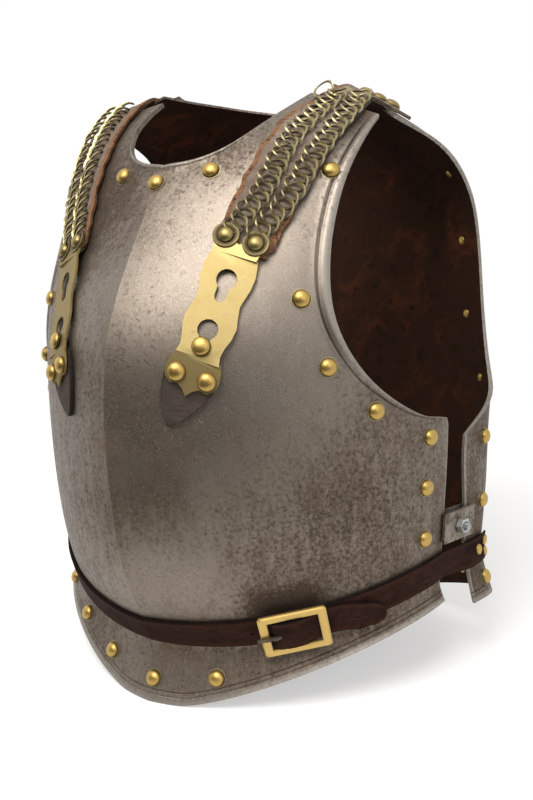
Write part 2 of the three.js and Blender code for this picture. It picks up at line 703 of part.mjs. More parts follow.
function chainRow(share) {
  const lean = ringLeanDegrees * degree;
  const lift = clothGap + strapThickness + seatGap + (ringRadius + ringWire / 2) * sin(lean) + ringWire / 2 * cos(lean);
  const line = strapLine(share, lift);
  const path = new THREE.CatmullRomCurve3(line.map(({ point }) => point));
  const length = path.getLength();
  const pitch = 2 * ringRadius - ringWire + ringBite;
  const start = chainStartRoom + ringRadius + ringWire;
  const room = length - start - chainEndRoom;
  const count = Math.floor(room / pitch);
  const rings = [];
  for (let k = 0; k <= count; k += 1) {
    const share = (start + k * pitch) / length;
    const point = path.getPointAt(share);
    const along = path.getTangentAt(share);
    const place = path.getUtoTmapping(share) * (line.length - 1);
    const i = min(Math.floor(place), line.length - 2);
    const normal = line[i].normal.clone().lerp(line[i + 1].normal, place - i);
    rings.push(placed(ringGeometry(k % 2 ? lean : -lean), frameAt(point, leaned(normal, along), along)));
  }
  return joined(rings);
}
const leaned = (normal, along) => normal.clone().addScaledVector(along, -normal.dot(along)).normalize();

// The end plate's own frame: X across the strap, Y up the strap, Z away from the breastplate
const plateCentre = surfaceAt(breastForm, ...endPlateCentreShares);
const plateNormal = normalAt(breastForm, ...endPlateCentreShares);
const plateUp = plateCentre.clone().sub(surfaceAt(breastForm, ...endPlateAimShares));
const plateFrame = frameAt(plateCentre.clone().addScaledVector(plateNormal, endPlateRide), plateNormal, plateUp);
const [plateX, plateY, plateZ] = [V(0, 0, 0), V(0, 0, 0), V(0, 0, 0)];
plateFrame.extractBasis(plateX, plateY, plateZ);

// The place on the breastplate that lies square under a point of the end plate's frame
function underPlate(x, y) {
  let [s, t] = endPlateCentreShares;
  for (let i = 0; i < lineSteps; i += 1) {
    const at = (a, b) => surfaceAt(breastForm, a, b).sub(plateCentre);
    const here = at(s, t);
    const [ex, ey] = [x - here.dot(plateX), y - here.dot(plateY)];
    const ds = at(s + partShare, t).sub(here).divideScalar(partShare);
    const dt = at(s, t + partShare).sub(here).divideScalar(partShare);
    const [a, b, c, d] = [ds.dot(plateX), dt.dot(plateX), ds.dot(plateY), dt.dot(plateY)];
    const det = a * d - b * c;
    s += (ex * d - ey * b) / det;
    t += (ey * a - ex * c) / det;
  }
  return { point: surfaceAt(breastForm, s, t), normal: normalAt(breastForm, s, t) };
}

function endPlateGeometry() {
  const halfOutline = [
    [endPlateHalfWidth, endPlateUpperLength],
    ...endPlateSideShares.map(([part, out]) => [
      endPlateWaistHalfWidth + (endPlateShoulderHalfWidth - endPlateWaistHalfWidth) * out,
      endPlateUpperLength - (endPlateUpperLength + endPlateLowerLength) * part]),
    [endPlateHalfWidth, -endPlateLowerLength],
  ];
  const middle = [...halfOutline, ...halfOutline.map(([x, y]) => [-x, y]).reverse()];
  const slotEnds = [-studPlace, -studPlace + keyholeSpacing];
  const shapes = slotEnds.map(y => {
    const entry = asin(slotWidth / 2 / keyholeRadius) - quarter;
    return [
      ...arcPoints(0, y + keyholeTravel, keyholeRadius, entry, PI - entry, keyholeSteps),
      ...arcPoints(0, y, slotWidth / 2, PI, 2 * PI, keyholeSteps / 2),
    ];
  });
  const lobe = endRivetSpacing / 2;
  const lobeTurn = lobeTurnShares.map(share => share * quarter);
  const upperTab = [
    [endPlateHalfWidth, -2 * endPlateThickness],
    ...arcPoints(lobe, upperRivetSetback, lobeRadius, ...lobeTurn, lobeSteps),
    [0, upperRivetSetback - lobeRadius / 2],
    ...arcPoints(-lobe, upperRivetSetback, lobeRadius, PI - lobeTurn[1], PI - lobeTurn[0], lobeSteps),
    [-endPlateHalfWidth, -2 * endPlateThickness],
  ];
  const halfTip = lowerTabShares.map(([x, y]) => [endPlateShoulderHalfWidth * x, lowerTabLength * y]);
  const lowerTab = [
    [endPlateHalfWidth, -2 * endPlateThickness],
    ...halfTip,
    [0, lowerTabLength],
    ...halfTip.map(([x, y]) => [-x, y]).reverse(),
    [-endPlateHalfWidth, -2 * endPlateThickness],
  ];
  const head = rivetHead(rivetRadius, rivetRise, rivetSink);
  const tab = (points, facing, length, setback, ride) => {
    const { point, normal } = underPlate(0, facing * (length + setback));
    const seat = frameAt(point.addScaledVector(normal, ride), normal, plateY.clone().multiplyScalar(facing));
    const heads = [-lobe, lobe].map(x => placed(head, seat.clone().multiply(shift(x, 0, endPlateThickness))));
    return [placed(extruded(points, endPlateThickness), seat.multiply(shift(0, -setback, 0))), ...heads];
  };
  return joined([
    placed(extruded(middle, endPlateThickness, shapes), plateFrame),
    ...tab(upperTab, 1, endPlateUpperLength, upperRivetSetback, clothGap + strapThickness + clothGap),
    ...tab(lowerTab, -1, endPlateLowerLength, lowerRivetSetback, leafGap + leafThickness + 2 * seatGap),
  ]);
}

// The leaf under the lower tab lies along the breastplate and ends in a point
function leafGeometry() {
  const rows = leafShares.map(([part, wide]) => {
    const y = -(endPlateLowerLength + leafLength * part);
    return acrossStrap.map(share => {
      const { point, normal } = underPlate(leafHalfWidth * wide * share, y);
      return { point: point.addScaledVector(normal, leafGap), normal };
    });
  });
  return ribbon(rows, leafThickness);
}

// The stud that the strap hooks on, through a hole in the breastplate
const studSeat = underPlate(0, -studPlace);
const studFrame = frameAt(studSeat.point, plateZ, plateY);
const studRide = plateCentre.clone().addScaledVector(plateZ, endPlateRide + endPlateThickness)
  .sub(studSeat.point).dot(plateZ);
function studGeometry() {
  const under = studRide + 2 * seatGap;
  const inside = -breastWall - 4 * seatGap;
  const rise = studHeadRise - studHeadRise / 3;
  return placed(lathe([
    [0, inside - studTailThickness], [studTailRadius, inside - studTailThickness], [studTailRadius, inside],
    [studNeckRadius, inside], [studNeckRadius, under], [studHeadRadius, under], [studHeadRadius, under + rise / 3],
    [studHeadRadius * rivetBrowShare, under + rise * rivetBrowRiseShare], [0, under + rise],
  ]), studFrame);
}
const studHole = () => placed(
  bore(studNeckRadius + seatGap, cutOverrun, breastWall + cutOverrun), studFrame,
);

// The strap's rear end, riveted to the backplate's shoulder
const lugCentres = lugShares.map(place => surfaceAt(backForm, ...place));
const lugLine = lateral => lugShares.map((place, i) => {
  const along = lugCentres[min(i + 1, lugCentres.length - 1)].clone().sub(lugCentres[max(i - 1, 0)]);
  return besideRoute(backForm, place, along, lateral, clothGap);
});
const lugRivetSeats = [-1, 0, 1].map(step => {
  const { point, normal } = lugLine(step * lugRivetSpacing + lugOffset)[1];
  return frameAt(point.clone().addScaledVector(normal, strapThickness), normal, up);
});
const lugReach = strapThickness + clothGap + backWall;
const lugBores = () => lugRivetSeats.map(seat => placed(
  bore(shankRadius + seatGap, cutOverrun, lugReach + cutOverrun), seat,
));
const lugGeometry = () => cut(ribbon(
  acrossStrap.map(share => lugLine(share * strapWidth / 2 + lugOffset)),
  strapThickness,
), lugBores());

// The waist belt's course: round the breastplate, over the gap at the side and on to the backplate
const beltHeightAt = q => beltCentreHeight + beltSideRise * breast.shareAt(q) ** beltRisePower;
const beltStops = [
  ...Array.from({ length: beltRows + 1 }, (_, i) => ({ plate: breast, q: i / beltRows })),
  ...beltBackShares.map(q => ({ plate: back, q })),
];
function beltPlace(side, { plate, q }, across, lift) {
  const height = beltHeightAt(plate === breast ? q : 1) + across;
  const normal = normalOf(plate.skin, inRange(q), height);
  const point = plate.skin(q, height).addScaledVector(normal, lift);
  return { point: side < 0 ? flipX(point) : point, normal: side < 0 ? flipX(normal) : normal };
}
// Distance along the belt's line from the middle of the front to each place on the breastplate
const beltReach = evenly(breastForm, straight([0], [1]).map(([q]) => [q, beltHeightAt(q) / breastHeight]));
const frontPlace = distance => {
  const share = abs(distance) / beltReach.total;
  return { plate: breast, q: beltReach.at(share)[0] };
};
const buckleDistance = bucklePlaceShare * beltReach.total;
const acrossBelt = [-1, 0, 1].map(side => side * beltWidth / 2);
function beltRibbon(stops) {
  return ribbon(acrossBelt.map(across => stops.map(({ side, stop, lift }) => (
    beltPlace(side, stop, across, lift)
  ))), beltThickness);
}
const sideStops = side => beltStops.filter(({ plate }) => plate === back).map(stop => ({ side, stop, lift: seatLift }));
// The wearer's right belt runs round the front and through the buckle
function rightBeltGeometry() {
  const start = -beltReach.total;
  const stops = [...sideStops(-1).reverse()];
  const calm = buckleDistance - buckleWidth;
  for (let i = 0; i <= 2 * beltRows; i += 1) {
    const distance = start + (calm - start) * i / (2 * beltRows);
    stops.push({ side: distance < 0 ? -1 : 1, stop: frontPlace(distance), lift: seatLift });
  }
  for (const [part, raise] of buckleHumpShares) {
    stops.push({
      side: 1,
      stop: frontPlace(buckleDistance + buckleWidth / 2 * part),
      lift: seatLift + humpHeight * raise,
    });
  }
  const hole = placed(
    extruded(boxPoints(tongueHoleLength, tongueWidth + 2 * seatGap), 2 * buckleStandOff),
    buckleFrame.clone().multiply(shift(-tongueHoleSetback, 0, 0)),
  );
  return cut(beltRibbon(stops), [hole, ...beltBores(-1)]);
}
// The wearer's left belt ends in an eye round the buckle's middle bar
function leftBeltGeometry() {
  const stops = [];
  const start = buckleDistance + eyeRadius * 2;
  for (let i = 0; i <= beltRows / 2; i += 1) {
    const distance = start + (beltReach.total - start) * i / (beltRows / 2);
    stops.push({ side: 1, stop: frontPlace(distance), lift: seatLift });
  }
  stops.push(...sideStops(1));
  const inner = buckleBarRadius + seatGap;
  const eyeBottom = buckleBarStandOff - eyeRadius;
  const tail = start - buckleDistance + beltThickness;
  const sagAt = x => -x * x / (2 * waistCurveRadius);
  const eyeOutline = [
    [tail, sagAt(tail) + seatLift + beltThickness * eyeSeatShare],
    [tail, sagAt(tail) + seatLift + beltThickness * (1 - eyeSeatShare)],
    ...arcPoints(0, buckleBarStandOff, eyeRadius, quarter / 2, quarter * 3, 2 * eyeSteps),
  ];
  const hole = arcPoints(0, buckleBarStandOff, inner, 0, 2 * PI, 2 * eyeSteps).slice(0, -1);
  const eye = placed(
    extruded(eyeOutline, beltWidth, [hole]),
    buckleFrame.clone().multiply(new THREE.Matrix4().makeRotationX(quarter)).multiply(shift(0, 0, -beltWidth / 2)),
  );
  const notch = placed(
    extruded(boxPoints(4 * eyeRadius, tongueWidth + 2 * seatGap), 2 * buckleStandOff),
    buckleFrame.clone().multiply(shift(-eyeRadius + tongueNotchReach, 0, eyeBottom - cutOverrun)),
  );
  return cut(joined([beltRibbon(stops), eye]), [notch, ...beltBores(1)]);
}
const boxPoints = (x, y) => [[-x / 2, -y / 2], [x / 2, -y / 2], [x / 2, y / 2], [-x / 2, y / 2]];

// The buckle's frame: X along the belt, Y up, Z away from the body
const bucklePlace = beltPlace(1, frontPlace(buckleDistance), 0, 0);
const buckleAlong = beltPlace(1, frontPlace(buckleDistance + buckleBar), 0, 0).point.sub(bucklePlace.point);
const buckleUp = bucklePlace.normal.clone().cross(buckleAlong);
const buckleFrame = frameAt(bucklePlace.point, bucklePlace.normal, buckleUp);
function buckleGeometry() {
  const ring = [boxPoints(buckleWidth, buckleHeight), boxPoints(buckleWidth - 2 * buckleBar, buckleHeight - 2 * buckleRail)];
  const rim = placed(extruded(ring[0], buckleThickness, [ring[1].reverse()]), shift(0, 0, buckleStandOff));
  const bar = placed(
    lathe([[0, 0], [buckleBarRadius, 0], [buckleBarRadius, buckleHeight], [0, buckleHeight]]),
    shift(0, buckleHeight / 2, buckleBarStandOff).multiply(new THREE.Matrix4().makeRotationX(quarter)),
  );
  const ears = [-1, 1].map(side => placed(
    extruded(boxPoints(2 * buckleBarRadius, buckleRail), buckleStandOff + buckleThickness / 2 - buckleBarStandOff
      + buckleBarRadius),
    shift(0, side * (buckleHeight - buckleRail) / 2, buckleBarStandOff - buckleBarRadius),
  ));
  return placed(joined([rim, bar, ...ears]), buckleFrame);
}
function tongueGeometry() {
  const hole = arcPoints(0, 0, buckleBarRadius + seatGap, 0, 2 * PI, 2 * eyeSteps).slice(0, -1);
  const collar = extruded(arcPoints(0, 0, tongueEyeRadius, 0, 2 * PI, 2 * eyeSteps).slice(0, -1), tongueWidth, [hole]);
  const rest = buckleStandOff + buckleThickness + seatGap - buckleBarStandOff;
  const reach = buckleWidth / 2 + tongueOverhang;
  const bend = tongueHoleSetback + tongueHoleLength / 2;
  const [heel, brow] = tongueHeelShares;
  const arm = extruded([
    [tongueEyeRadius * heel[0], -buckleBarRadius / 2], [-bend, rest], [-reach, rest],
    [-reach, rest + tongueThickness * tonguePointShare], [-bend, rest + tongueThickness],
    [tongueEyeRadius * brow[0], tongueEyeRadius * brow[1]],
  ], tongueWidth);
  return placed(joined([collar, arm]), buckleFrame.clone()
    .multiply(shift(0, tongueWidth / 2, buckleBarStandOff)).multiply(new THREE.Matrix4().makeRotationX(quarter)));
}

// Rivets that hold each belt end to the backplate
const beltRivetSeats = side => beltRivetShares.map(([q, across]) => {
  const { point, normal } = beltPlace(side, { plate: back, q }, across * beltWidth / 2, seatLift + beltThickness + seatGap);
  return frameAt(point, normal, up);
});
const beltRivetReach = seatLift + beltThickness + backWall;
const beltBores = side => beltRivetSeats(side).map(seat => placed(
  bore(shankRadius + seatGap, cutOverrun, beltRivetReach + 2 * cutOverrun), seat,
));

// Side clamp: a plate each side of the two walls, drawn together by a bolt and its nut
const clampLevel = beltHeightAt(1) + beltWidth / 2 + clampAboveBelt + clampHeight / 2;
const clampEnds = [[breast, clampBreastPlace], [back, clampBackPlace]].map(([plate, q]) => {
  const [low, high] = [-1, 1].map(side => plate.skin(q, clampLevel + side * clampHeight / 2));
  return { plate, low, high, normal: normalOf(plate.skin, inRange(q), clampLevel) };
});
function clampFrame(inward) {
  const points = clampEnds.map(({ plate, low, high, normal }) => [low, high].map(p => (
    p.clone().addScaledVector(normal, inward ? -plate.wall - clampSeat : clampSeat)
  )));
  const middles = points.map(([low, high]) => low.clone().add(high).divideScalar(2));
  const along = middles[1].clone().sub(middles[0]);
  const rise = points[0][1].clone().add(points[1][1]).sub(points[0][0]).sub(points[1][0]);
  const normal = along.clone().cross(rise);
  if (normal.x < 0) normal.negate();
  return frameAt(middles[0].clone().add(middles[1]).divideScalar(2), normal, rise);
}
const outerClamp = clampFrame(false);
const innerClamp = clampFrame(true);
const [clampX, clampY, clampZ] = [V(0, 0, 0), V(0, 0, 0), V(0, 0, 0)];
outerClamp.extractBasis(clampX, clampY, clampZ);
const outerSeat = V(0, 0, 0).setFromMatrixPosition(outerClamp);
const innerSeat = V(0, 0, 0).setFromMatrixPosition(innerClamp);
const grip = outerSeat.clone().sub(innerSeat).dot(clampZ);
const boltFrame = frameAt(outerSeat, clampZ, clampY);
const clampBore = () => placed(bore(boltRadius + boltSlack, clampThickness + cutOverrun,
  grip + 2 * clampThickness + cutOverrun), boltFrame);
const clampPlate = (frame, lift) => cut(
  placed(extruded(boxPoints(clampLength, clampHeight), clampThickness), frame.clone().multiply(shift(0, 0, lift))),
  [clampBore()],
);
const hexagon = acrossFlats => arcPoints(0, 0, acrossFlats / sqrt(3), 0, 2 * PI, 6).slice(0, -1);
function boltGeometry() {
  const headTop = -grip - clampThickness - clampSeat;
  const tip = clampThickness + seatGap + nutThickness + boltStickOut;
  const shank = lathe([[0, headTop - boltHeadThickness / 2], [boltRadius, headTop - boltHeadThickness / 2],
    [boltRadius, tip], [0, tip]]);
  const head = placed(extruded(hexagon(nutAcrossFlats), boltHeadThickness), shift(0, 0, headTop - boltHeadThickness));
  return placed(joined([shank, head]), boltFrame);
}
const nutGeometry = () => placed(cut(
  extruded(hexagon(nutAcrossFlats), nutThickness),
  [bore(boltRadius + boltSlack / 2, nutThickness + cutOverrun, cutOverrun)],
), boltFrame.clone().multiply(shift(0, 0, clampThickness + seatGap)));

// Finishes
const finish = (color, roughness, metalness) => new THREE.MeshStandardMaterial({ color, roughness, metalness });
const steel = finish(0x857a70, 0.45, 0.85);
const brass = finish(0xb99f63, 0.4, 0.85);
const chainBrass = finish(0x8f835c, 0.5, 0.8);
const strapHide = finish(0x98836f, 0.85, 0);
const beltHide = finish(0x31221f, 0.7, 0);
const leafHide = finish(0x50453c, 0.85, 0);
const tongueSteel = finish(0x6e6a66, 0.5, 0.8);
const clampSteel = finish(0xa9a49b, 0.55, 0.7);
const zinc = finish(0xb9bcc0, 0.4, 0.85);

const pieces = new THREE.Group();
function add(name, geometry, material) {
  const mesh = new THREE.Mesh(geometry, material);
  mesh.name = name;
  pieces.add(mesh);
}
const mirroredX = geometry => rightWayOut(geometry.clone().applyMatrix4(new THREE.Matrix4().makeScale(-1, 1, 1)));
function addPair(name, geometry, material) {
  add(`left_${name}`, geometry, material);
  add(`right_${name}`, mirroredX(geometry), material);
}
const onBothSides = tools => [...tools, ...tools.map(mirroredX)];

add('breastplate', plateGeometry(breast, onBothSides([studHole()])), steel);
add('backplate', plateGeometry(back, onBothSides([...lugBores(), ...beltBores(1)])), steel);
addPair('strap_leather', strapLeather(), strapHide);
addPair('inner_chain', chainRow((chainShift - chainRowSpacing / 2) / (strapWidth / 2)), chainBrass);
addPair('outer_chain', chainRow((chainShift + chainRowSpacing / 2) / (strapWidth / 2)), chainBrass);
addPair('end_plate', endPlateGeometry(), brass);
addPair('strap_tip', leafGeometry(), leafHide);
addPair('stud', studGeometry(), brass);
addPair('rear_lug', lugGeometry(), strapHide);
lugRivetSeats.forEach((seat, i) => {
  addPair(`rear_rivet_${i + 1}`, placed(fastener(rivetRadius, rivetRise, shankRadius, lugReach), seat), brass);
});
add('right_belt', rightBeltGeometry(), beltHide);
add('left_belt', leftBeltGeometry(), beltHide);
add('buckle_frame', buckleGeometry(), brass);
add('buckle_tongue', tongueGeometry(), tongueSteel);
beltRivetSeats(1).forEach((seat, i) => {
  addPair(`belt_rivet_${i + 1}`, placed(fastener(beltRivetRadius, rivetRise / 2, shankRadius, beltRivetReach), seat), brass);
});
addPair('clamp_outer_plate', clampPlate(outerClamp, 0), clampSteel);
addPair('clamp_inner_plate', clampPlate(innerClamp, -clampThickness), clampSteel);
addPair('clamp_bolt', boltGeometry(), zinc);
addPair('clamp_nut', nutGeometry(), zinc);

// It stands on the ground, with the origin under the middle of its box
const box = new THREE.Box3().setFromObject(pieces);
pieces.position.set(0, -(box.min.y + box.max.y) / 2, -box.min.z);
const group = new THREE.Group();
group.add(pieces);

export default group;
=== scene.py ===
"""Looks of a cavalry cuirass: worn steel plates, brass rivets, chained shoulder straps and a waist belt."""

import logging
import math
from dataclasses import dataclass, field, replace
from enum import Enum
from typing import Callable, Iterable, Optional, Sequence

import bmesh
import bpy
from mathutils import Matrix, Vector, noise


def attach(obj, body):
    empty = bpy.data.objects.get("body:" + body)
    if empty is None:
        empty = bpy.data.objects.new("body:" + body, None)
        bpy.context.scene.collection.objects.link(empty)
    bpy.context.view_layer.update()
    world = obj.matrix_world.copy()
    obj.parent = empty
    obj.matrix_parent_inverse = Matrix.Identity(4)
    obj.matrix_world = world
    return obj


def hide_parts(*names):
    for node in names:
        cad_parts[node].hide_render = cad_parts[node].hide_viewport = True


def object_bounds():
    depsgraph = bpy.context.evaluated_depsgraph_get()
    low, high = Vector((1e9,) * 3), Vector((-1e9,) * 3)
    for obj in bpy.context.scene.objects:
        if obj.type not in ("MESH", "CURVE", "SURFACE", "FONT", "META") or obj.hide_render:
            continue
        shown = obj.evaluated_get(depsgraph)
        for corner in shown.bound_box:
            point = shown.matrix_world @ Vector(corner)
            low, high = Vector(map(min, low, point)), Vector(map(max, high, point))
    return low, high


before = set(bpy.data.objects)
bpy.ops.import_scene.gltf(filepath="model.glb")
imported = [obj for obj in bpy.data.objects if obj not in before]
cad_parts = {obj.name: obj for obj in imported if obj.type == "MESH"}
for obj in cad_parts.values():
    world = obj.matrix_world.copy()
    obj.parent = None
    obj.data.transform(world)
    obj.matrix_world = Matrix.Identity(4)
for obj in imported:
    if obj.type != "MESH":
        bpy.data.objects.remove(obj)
CAD_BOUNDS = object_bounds()

log = logging.getLogger("cuirass")

MM = 0.001
QUARTER = math.pi / 2
UP = Vector((0, 0, 1))
# How far the plates' own middle lies behind the part's origin, in millimetres
STAND = 21.684
# The dent that tips the shoulders: its slope, where it starts and how high it reaches
TIP_SLOPE, TIP_FROM, TIP_REACH = 0.058, 335, 85
# How finely a line over a plate is measured, and the distance over which a slope is taken
LINE_STEPS = 40
NUDGE = 0.004
# The nearest that a normal is taken to either end of a section
SHY = 0.008
# The height of the middle of the plates
HEART_HEIGHT = 212.5
# How many steps curve a domed head, and the coarsest angle that still looks round on cast metal
DOME_STEPS = 7
CAST_ANGLE = 35

Table = Sequence[Sequence[float]]
Place = tuple[float, float]
Colour = tuple[float, float, float]


class Body(Enum):
    """The CAD bodies that pieces ride on."""

    SHELL = "shell"
    LEFT_STRAP = "left_strap"
    RIGHT_STRAP = "right_strap"
    LEFT_HOOK = "left_hook_plate"
    RIGHT_HOOK = "right_hook_plate"
    BUCKLE = "buckle"
    TONGUE = "tongue"


class Side(Enum):
    """The wearer's two sides, with the sign of X on each."""

    LEFT = 1
    RIGHT = -1

    @property
    def word(self) -> str:
        """The side's name as the CAD nodes spell it."""
        return self.name.lower()

    @property
    def strap(self) -> Body:
        """The body of this side's strap."""
        return Body.LEFT_STRAP if self is Side.LEFT else Body.RIGHT_STRAP

    @property
    def hook(self) -> Body:
        """The body of this side's end plate."""
        return Body.LEFT_HOOK if self is Side.LEFT else Body.RIGHT_HOOK


def metres(point: Vector) -> Vector:
    """A point of the plates' own millimetres, in the part's frame, with the dent that tips the shoulders."""
    tip = TIP_SLOPE * clamp((point.z - TIP_FROM) / TIP_REACH) * point.x
    return Vector((point.x, point.y + STAND, point.z - tip)) * MM


def mirrored(vector: Vector) -> Vector:
    """A point or a direction on the wearer's other side."""
    return Vector((-vector.x, vector.y, vector.z))


def shares(count: int = LINE_STEPS) -> list[float]:
    """Even shares from 0 to 1."""
    return [i / count for i in range(count + 1)]


def clamp(value: float, low: float = 0.0, high: float = 1.0) -> float:
    """The value, held between two limits."""
    return min(max(value, low), high)


def ease(value: float, low: float, high: float) -> float:
    """A smooth step from 0 at low to 1 at high."""
    part = clamp((value - low) / (high - low))
    return part * part * (3 - 2 * part)


def mix(a: Sequence[float], b: Sequence[float], part: float) -> tuple[float, ...]:
    """The place between two lists of numbers at a part of the way."""
    return tuple(x + (y - x) * part for x, y in zip(a, b))


class Curve:
    """A smooth curve through a table of places and values, whose bending is continuous."""

    def __init__(self, table: Table) -> None:
        """Solves for the bending at each entry.

        Args:
            table: pairs of place and value, in rising order of place.
        """
        self.table = table
        count = len(table)
        bend, work = [0.0] * count, [0.0] * count
        for i in range(1, count - 1):
            before = table[i][0] - table[i - 1][0]
            after = table[i + 1][0] - table[i][0]
            share = before / (before + after)
            pivot = share * bend[i - 1] + 2
            jump = (table[i + 1][1] - table[i][1]) / after - (table[i][1] - table[i - 1][1]) / before
            bend[i] = (share - 1) / pivot
            work[i] = (6 * jump / (before + after) - share * work[i - 1]) / pivot
        for i in range(count - 2, -1, -1):
            bend[i] = bend[i] * bend[i + 1] + work[i]
        self.bend = bend

    def __call__(self, place: float) -> float:
        """The value at a place."""
        i = 0
        while i < len(self.table) - 2 and place > self.table[i + 1][0]:
            i += 1
        span = self.table[i + 1][0] - self.table[i][0]
        a = (self.table[i + 1][0] - place) / span
        b = 1 - a
        cubic = ((a ** 3 - a) * self.bend[i] + (b ** 3 - b) * self.bend[i + 1]) * span * span / 6
        return a * self.table[i][1] + b * self.table[i + 1][1] + cubic


class Route:
    """A centripetal curve through points, read by an even step from point to point."""

    def __init__(self, points: Sequence[Vector]) -> None:
        """Keeps the points, with one more beyond each end.

        Args:
            points: the points that the curve passes through.
        """
        self.points = [2 * points[0] - points[1], *points, 2 * points[-1] - points[-2]]
        self.spans = len(points) - 1

    def at(self, share: float) -> Vector:
        """The point at a share of the steps, from 0 to 1."""
        place = clamp(share) * self.spans
        i = min(int(place), self.spans - 1)
        part = place - i
        p0, p1, p2, p3 = self.points[i:i + 4]
        d1 = max(math.sqrt((p2 - p1).length), 1e-6)
        d0 = math.sqrt((p1 - p0).length) or d1
        d2 = math.sqrt((p3 - p2).length) or d1
        t1 = ((p1 - p0) / d0 - (p2 - p0) / (d0 + d1) + (p2 - p1) / d1) * d1
        t2 = ((p2 - p1) / d1 - (p3 - p1) / (d1 + d2) + (p3 - p2) / d2) * d1
        c2 = -3 * p1 + 3 * p2 - 2 * t1 - t2
        c3 = 2 * p1 - 2 * p2 + t1 + t2
        return p1 + t1 * part + c2 * part ** 2 + c3 * part ** 3


class Line:
    """A line of places on a plate, read by its real length."""

    def __init__(self, shape: "PlateShape", places: Sequence[Sequence[float]]) -> None:
        """Measures the line on the plate.

        Args:
            shape: the plate that carries the line.
            places: the line's places on it.
        """
        self.places = places
        points = [shape.section(*place) for place in places]
        self.reach = [0.0]
        for a, b in zip(points, points[1:]):
            self.reach.append(self.reach[-1] + (b - a).length)
        self.total = self.reach[-1]

    def at(self, share: float) -> tuple[float, ...]:
        """The place at a share of the line's length."""
        want, i = share * self.total, 1
        while i < len(self.places) - 1 and self.reach[i] < want:
            i += 1
        part = (want - self.reach[i - 1]) / (self.reach[i] - self.reach[i - 1])
        return mix(self.places[i - 1], self.places[i], part)


def straight(a: Sequence[float], b: Sequence[float]) -> list[tuple[float, ...]]:
    """Even places from one place to another."""
    return [mix(a, b, share) for share in shares()]


def signed_power(base: float, power: float) -> float:
    """A power that keeps the sign of its base."""
    return math.copysign(abs(base) ** power, base)


@dataclass
class PlateShape:
    """The outer face of one steel plate: rounded sections from the waist up, and the flange below it."""

    facing: int
    wall: float
    height: float
    half_width: float
    width: Curve
    fullness: Curve
    arm: Table
    neck: Table
    flare: float
    side_flare: float
    flange_side_rise: float
    flat_share: float
    columns: int
    rows: int
    arm_bead_top: float
    rivets: Table
    flange_rivets: Sequence[float]
    right_flange_rivets: Sequence[float]

    def sizes(self, t: float) -> tuple[Place, Place, float, float]:
        """The spine's and the side's place, the keel and the bulge of the section at t."""
        raise NotImplementedError

    def waist(self, q: float) -> float:
        """Where the waist's fold runs, at the place q round the plate."""
        raise NotImplementedError

    def section(self, q: float, t: float) -> Vector:
        """A point of the section at t, from the middle (q 0) to the side (q 1)."""
        spine, side, keel, bulge = self.sizes(t)
        full = 2 / self.fullness(t)
        s = signed_power(math.sin(q * QUARTER), full)
        g = signed_power(math.cos(q * QUARTER), full)
        away = math.copysign(1, spine[0] - side[0])
        swell = bulge * math.sin(q * QUARTER) ** 2 * math.sin(q * math.pi)
        return Vector((
            self.half_width * self.width(t) * s + swell,
            side[0] + (spine[0] - away * keel - side[0]) * g + away * keel * (1 - abs(s)) ** 2,
            side[1] + (spine[1] - side[1]) * g,
        ))

    def to_q(self, s: float, t: float) -> float:
        """The place q at a share s of the half width."""
        return math.asin(clamp(s) ** (self.fullness(t) / 2)) / QUARTER

    def surface(self, s: float, t: float) -> Vector:
        """The point at a share of the half width and of the height."""
        return self.section(self.to_q(s, t), t)

    def normal_of(self, at: Callable[[float, float], Vector], a: float, b: float) -> Vector:
        """The outward normal of any surface that two numbers run over."""
        across, along = at(a + NUDGE, b) - at(a - NUDGE, b), at(a, b + NUDGE) - at(a, b - NUDGE)
        normal = across.cross(along).normalized()
        return -normal if normal.dot(at(a, b) - Vector((0, 0, HEART_HEIGHT))) < 0 else normal

    def normal(self, s: float, t: float) -> Vector:
        """The outward normal at a share of the half width and of the height."""
        return self.normal_of(self.section, clamp(self.to_q(s, t), SHY, 1 - SHY), t)

    def share_at(self, q: float) -> float:
        """The share of the half width at the place q of the waist."""
        return math.sin(clamp(q) * QUARTER) ** (2 / self.fullness(self.waist(q)))

    def rim_height(self, q: float) -> float:
        """The height of the flange's lower edge."""
        rise = max(0.0, self.share_at(q) - self.flat_share) / (1 - self.flat_share)
        return self.flange_side_rise * rise ** 1.25

    def crease(self, q: float) -> Vector:
        """The point of the waist's fold at the place q."""
        return self.section(q, self.waist(q))

    def flange(self, q: float, down: float) -> Vector:
        """A point of the flange, from the fold (down 0) to its edge (down 1)."""
        top = self.crease(q)
        along = self.crease(q + NUDGE) - self.crease(q - NUDGE)
        out = Vector((-along.y, along.x, 0)).normalized() * self.facing
        flare = self.flare + (self.side_flare - self.flare) * self.share_at(q)
        point = top + out * flare * max(down, 0.0) ** 1.3
        point.z = top.z - (top.z - self.rim_height(q)) * down
        return point

    def skin(self, q: float, height: float) -> Vector:
        """The point of the body or the flange at a height."""
        top = self.crease(q).z
        if height < top:
            return self.flange(q, (top - height) / (top - self.rim_height(q)))
        low, high = self.waist(q), 1.0
        for _ in range(30):
            middle = (low + high) / 2
            if self.section(q, middle).z < height:
                low = middle
            else:
                high = middle
        return self.section(q, low)

    def outline(self, table: Table) -> list[tuple[float, float]]:
        """A smooth line through a table of shares, as places on the plate."""
        route = Route([Vector((self.to_q(s, t), t, 0)) for s, t in table])
        return [route.at(share).xy.to_tuple() for share in shares()]


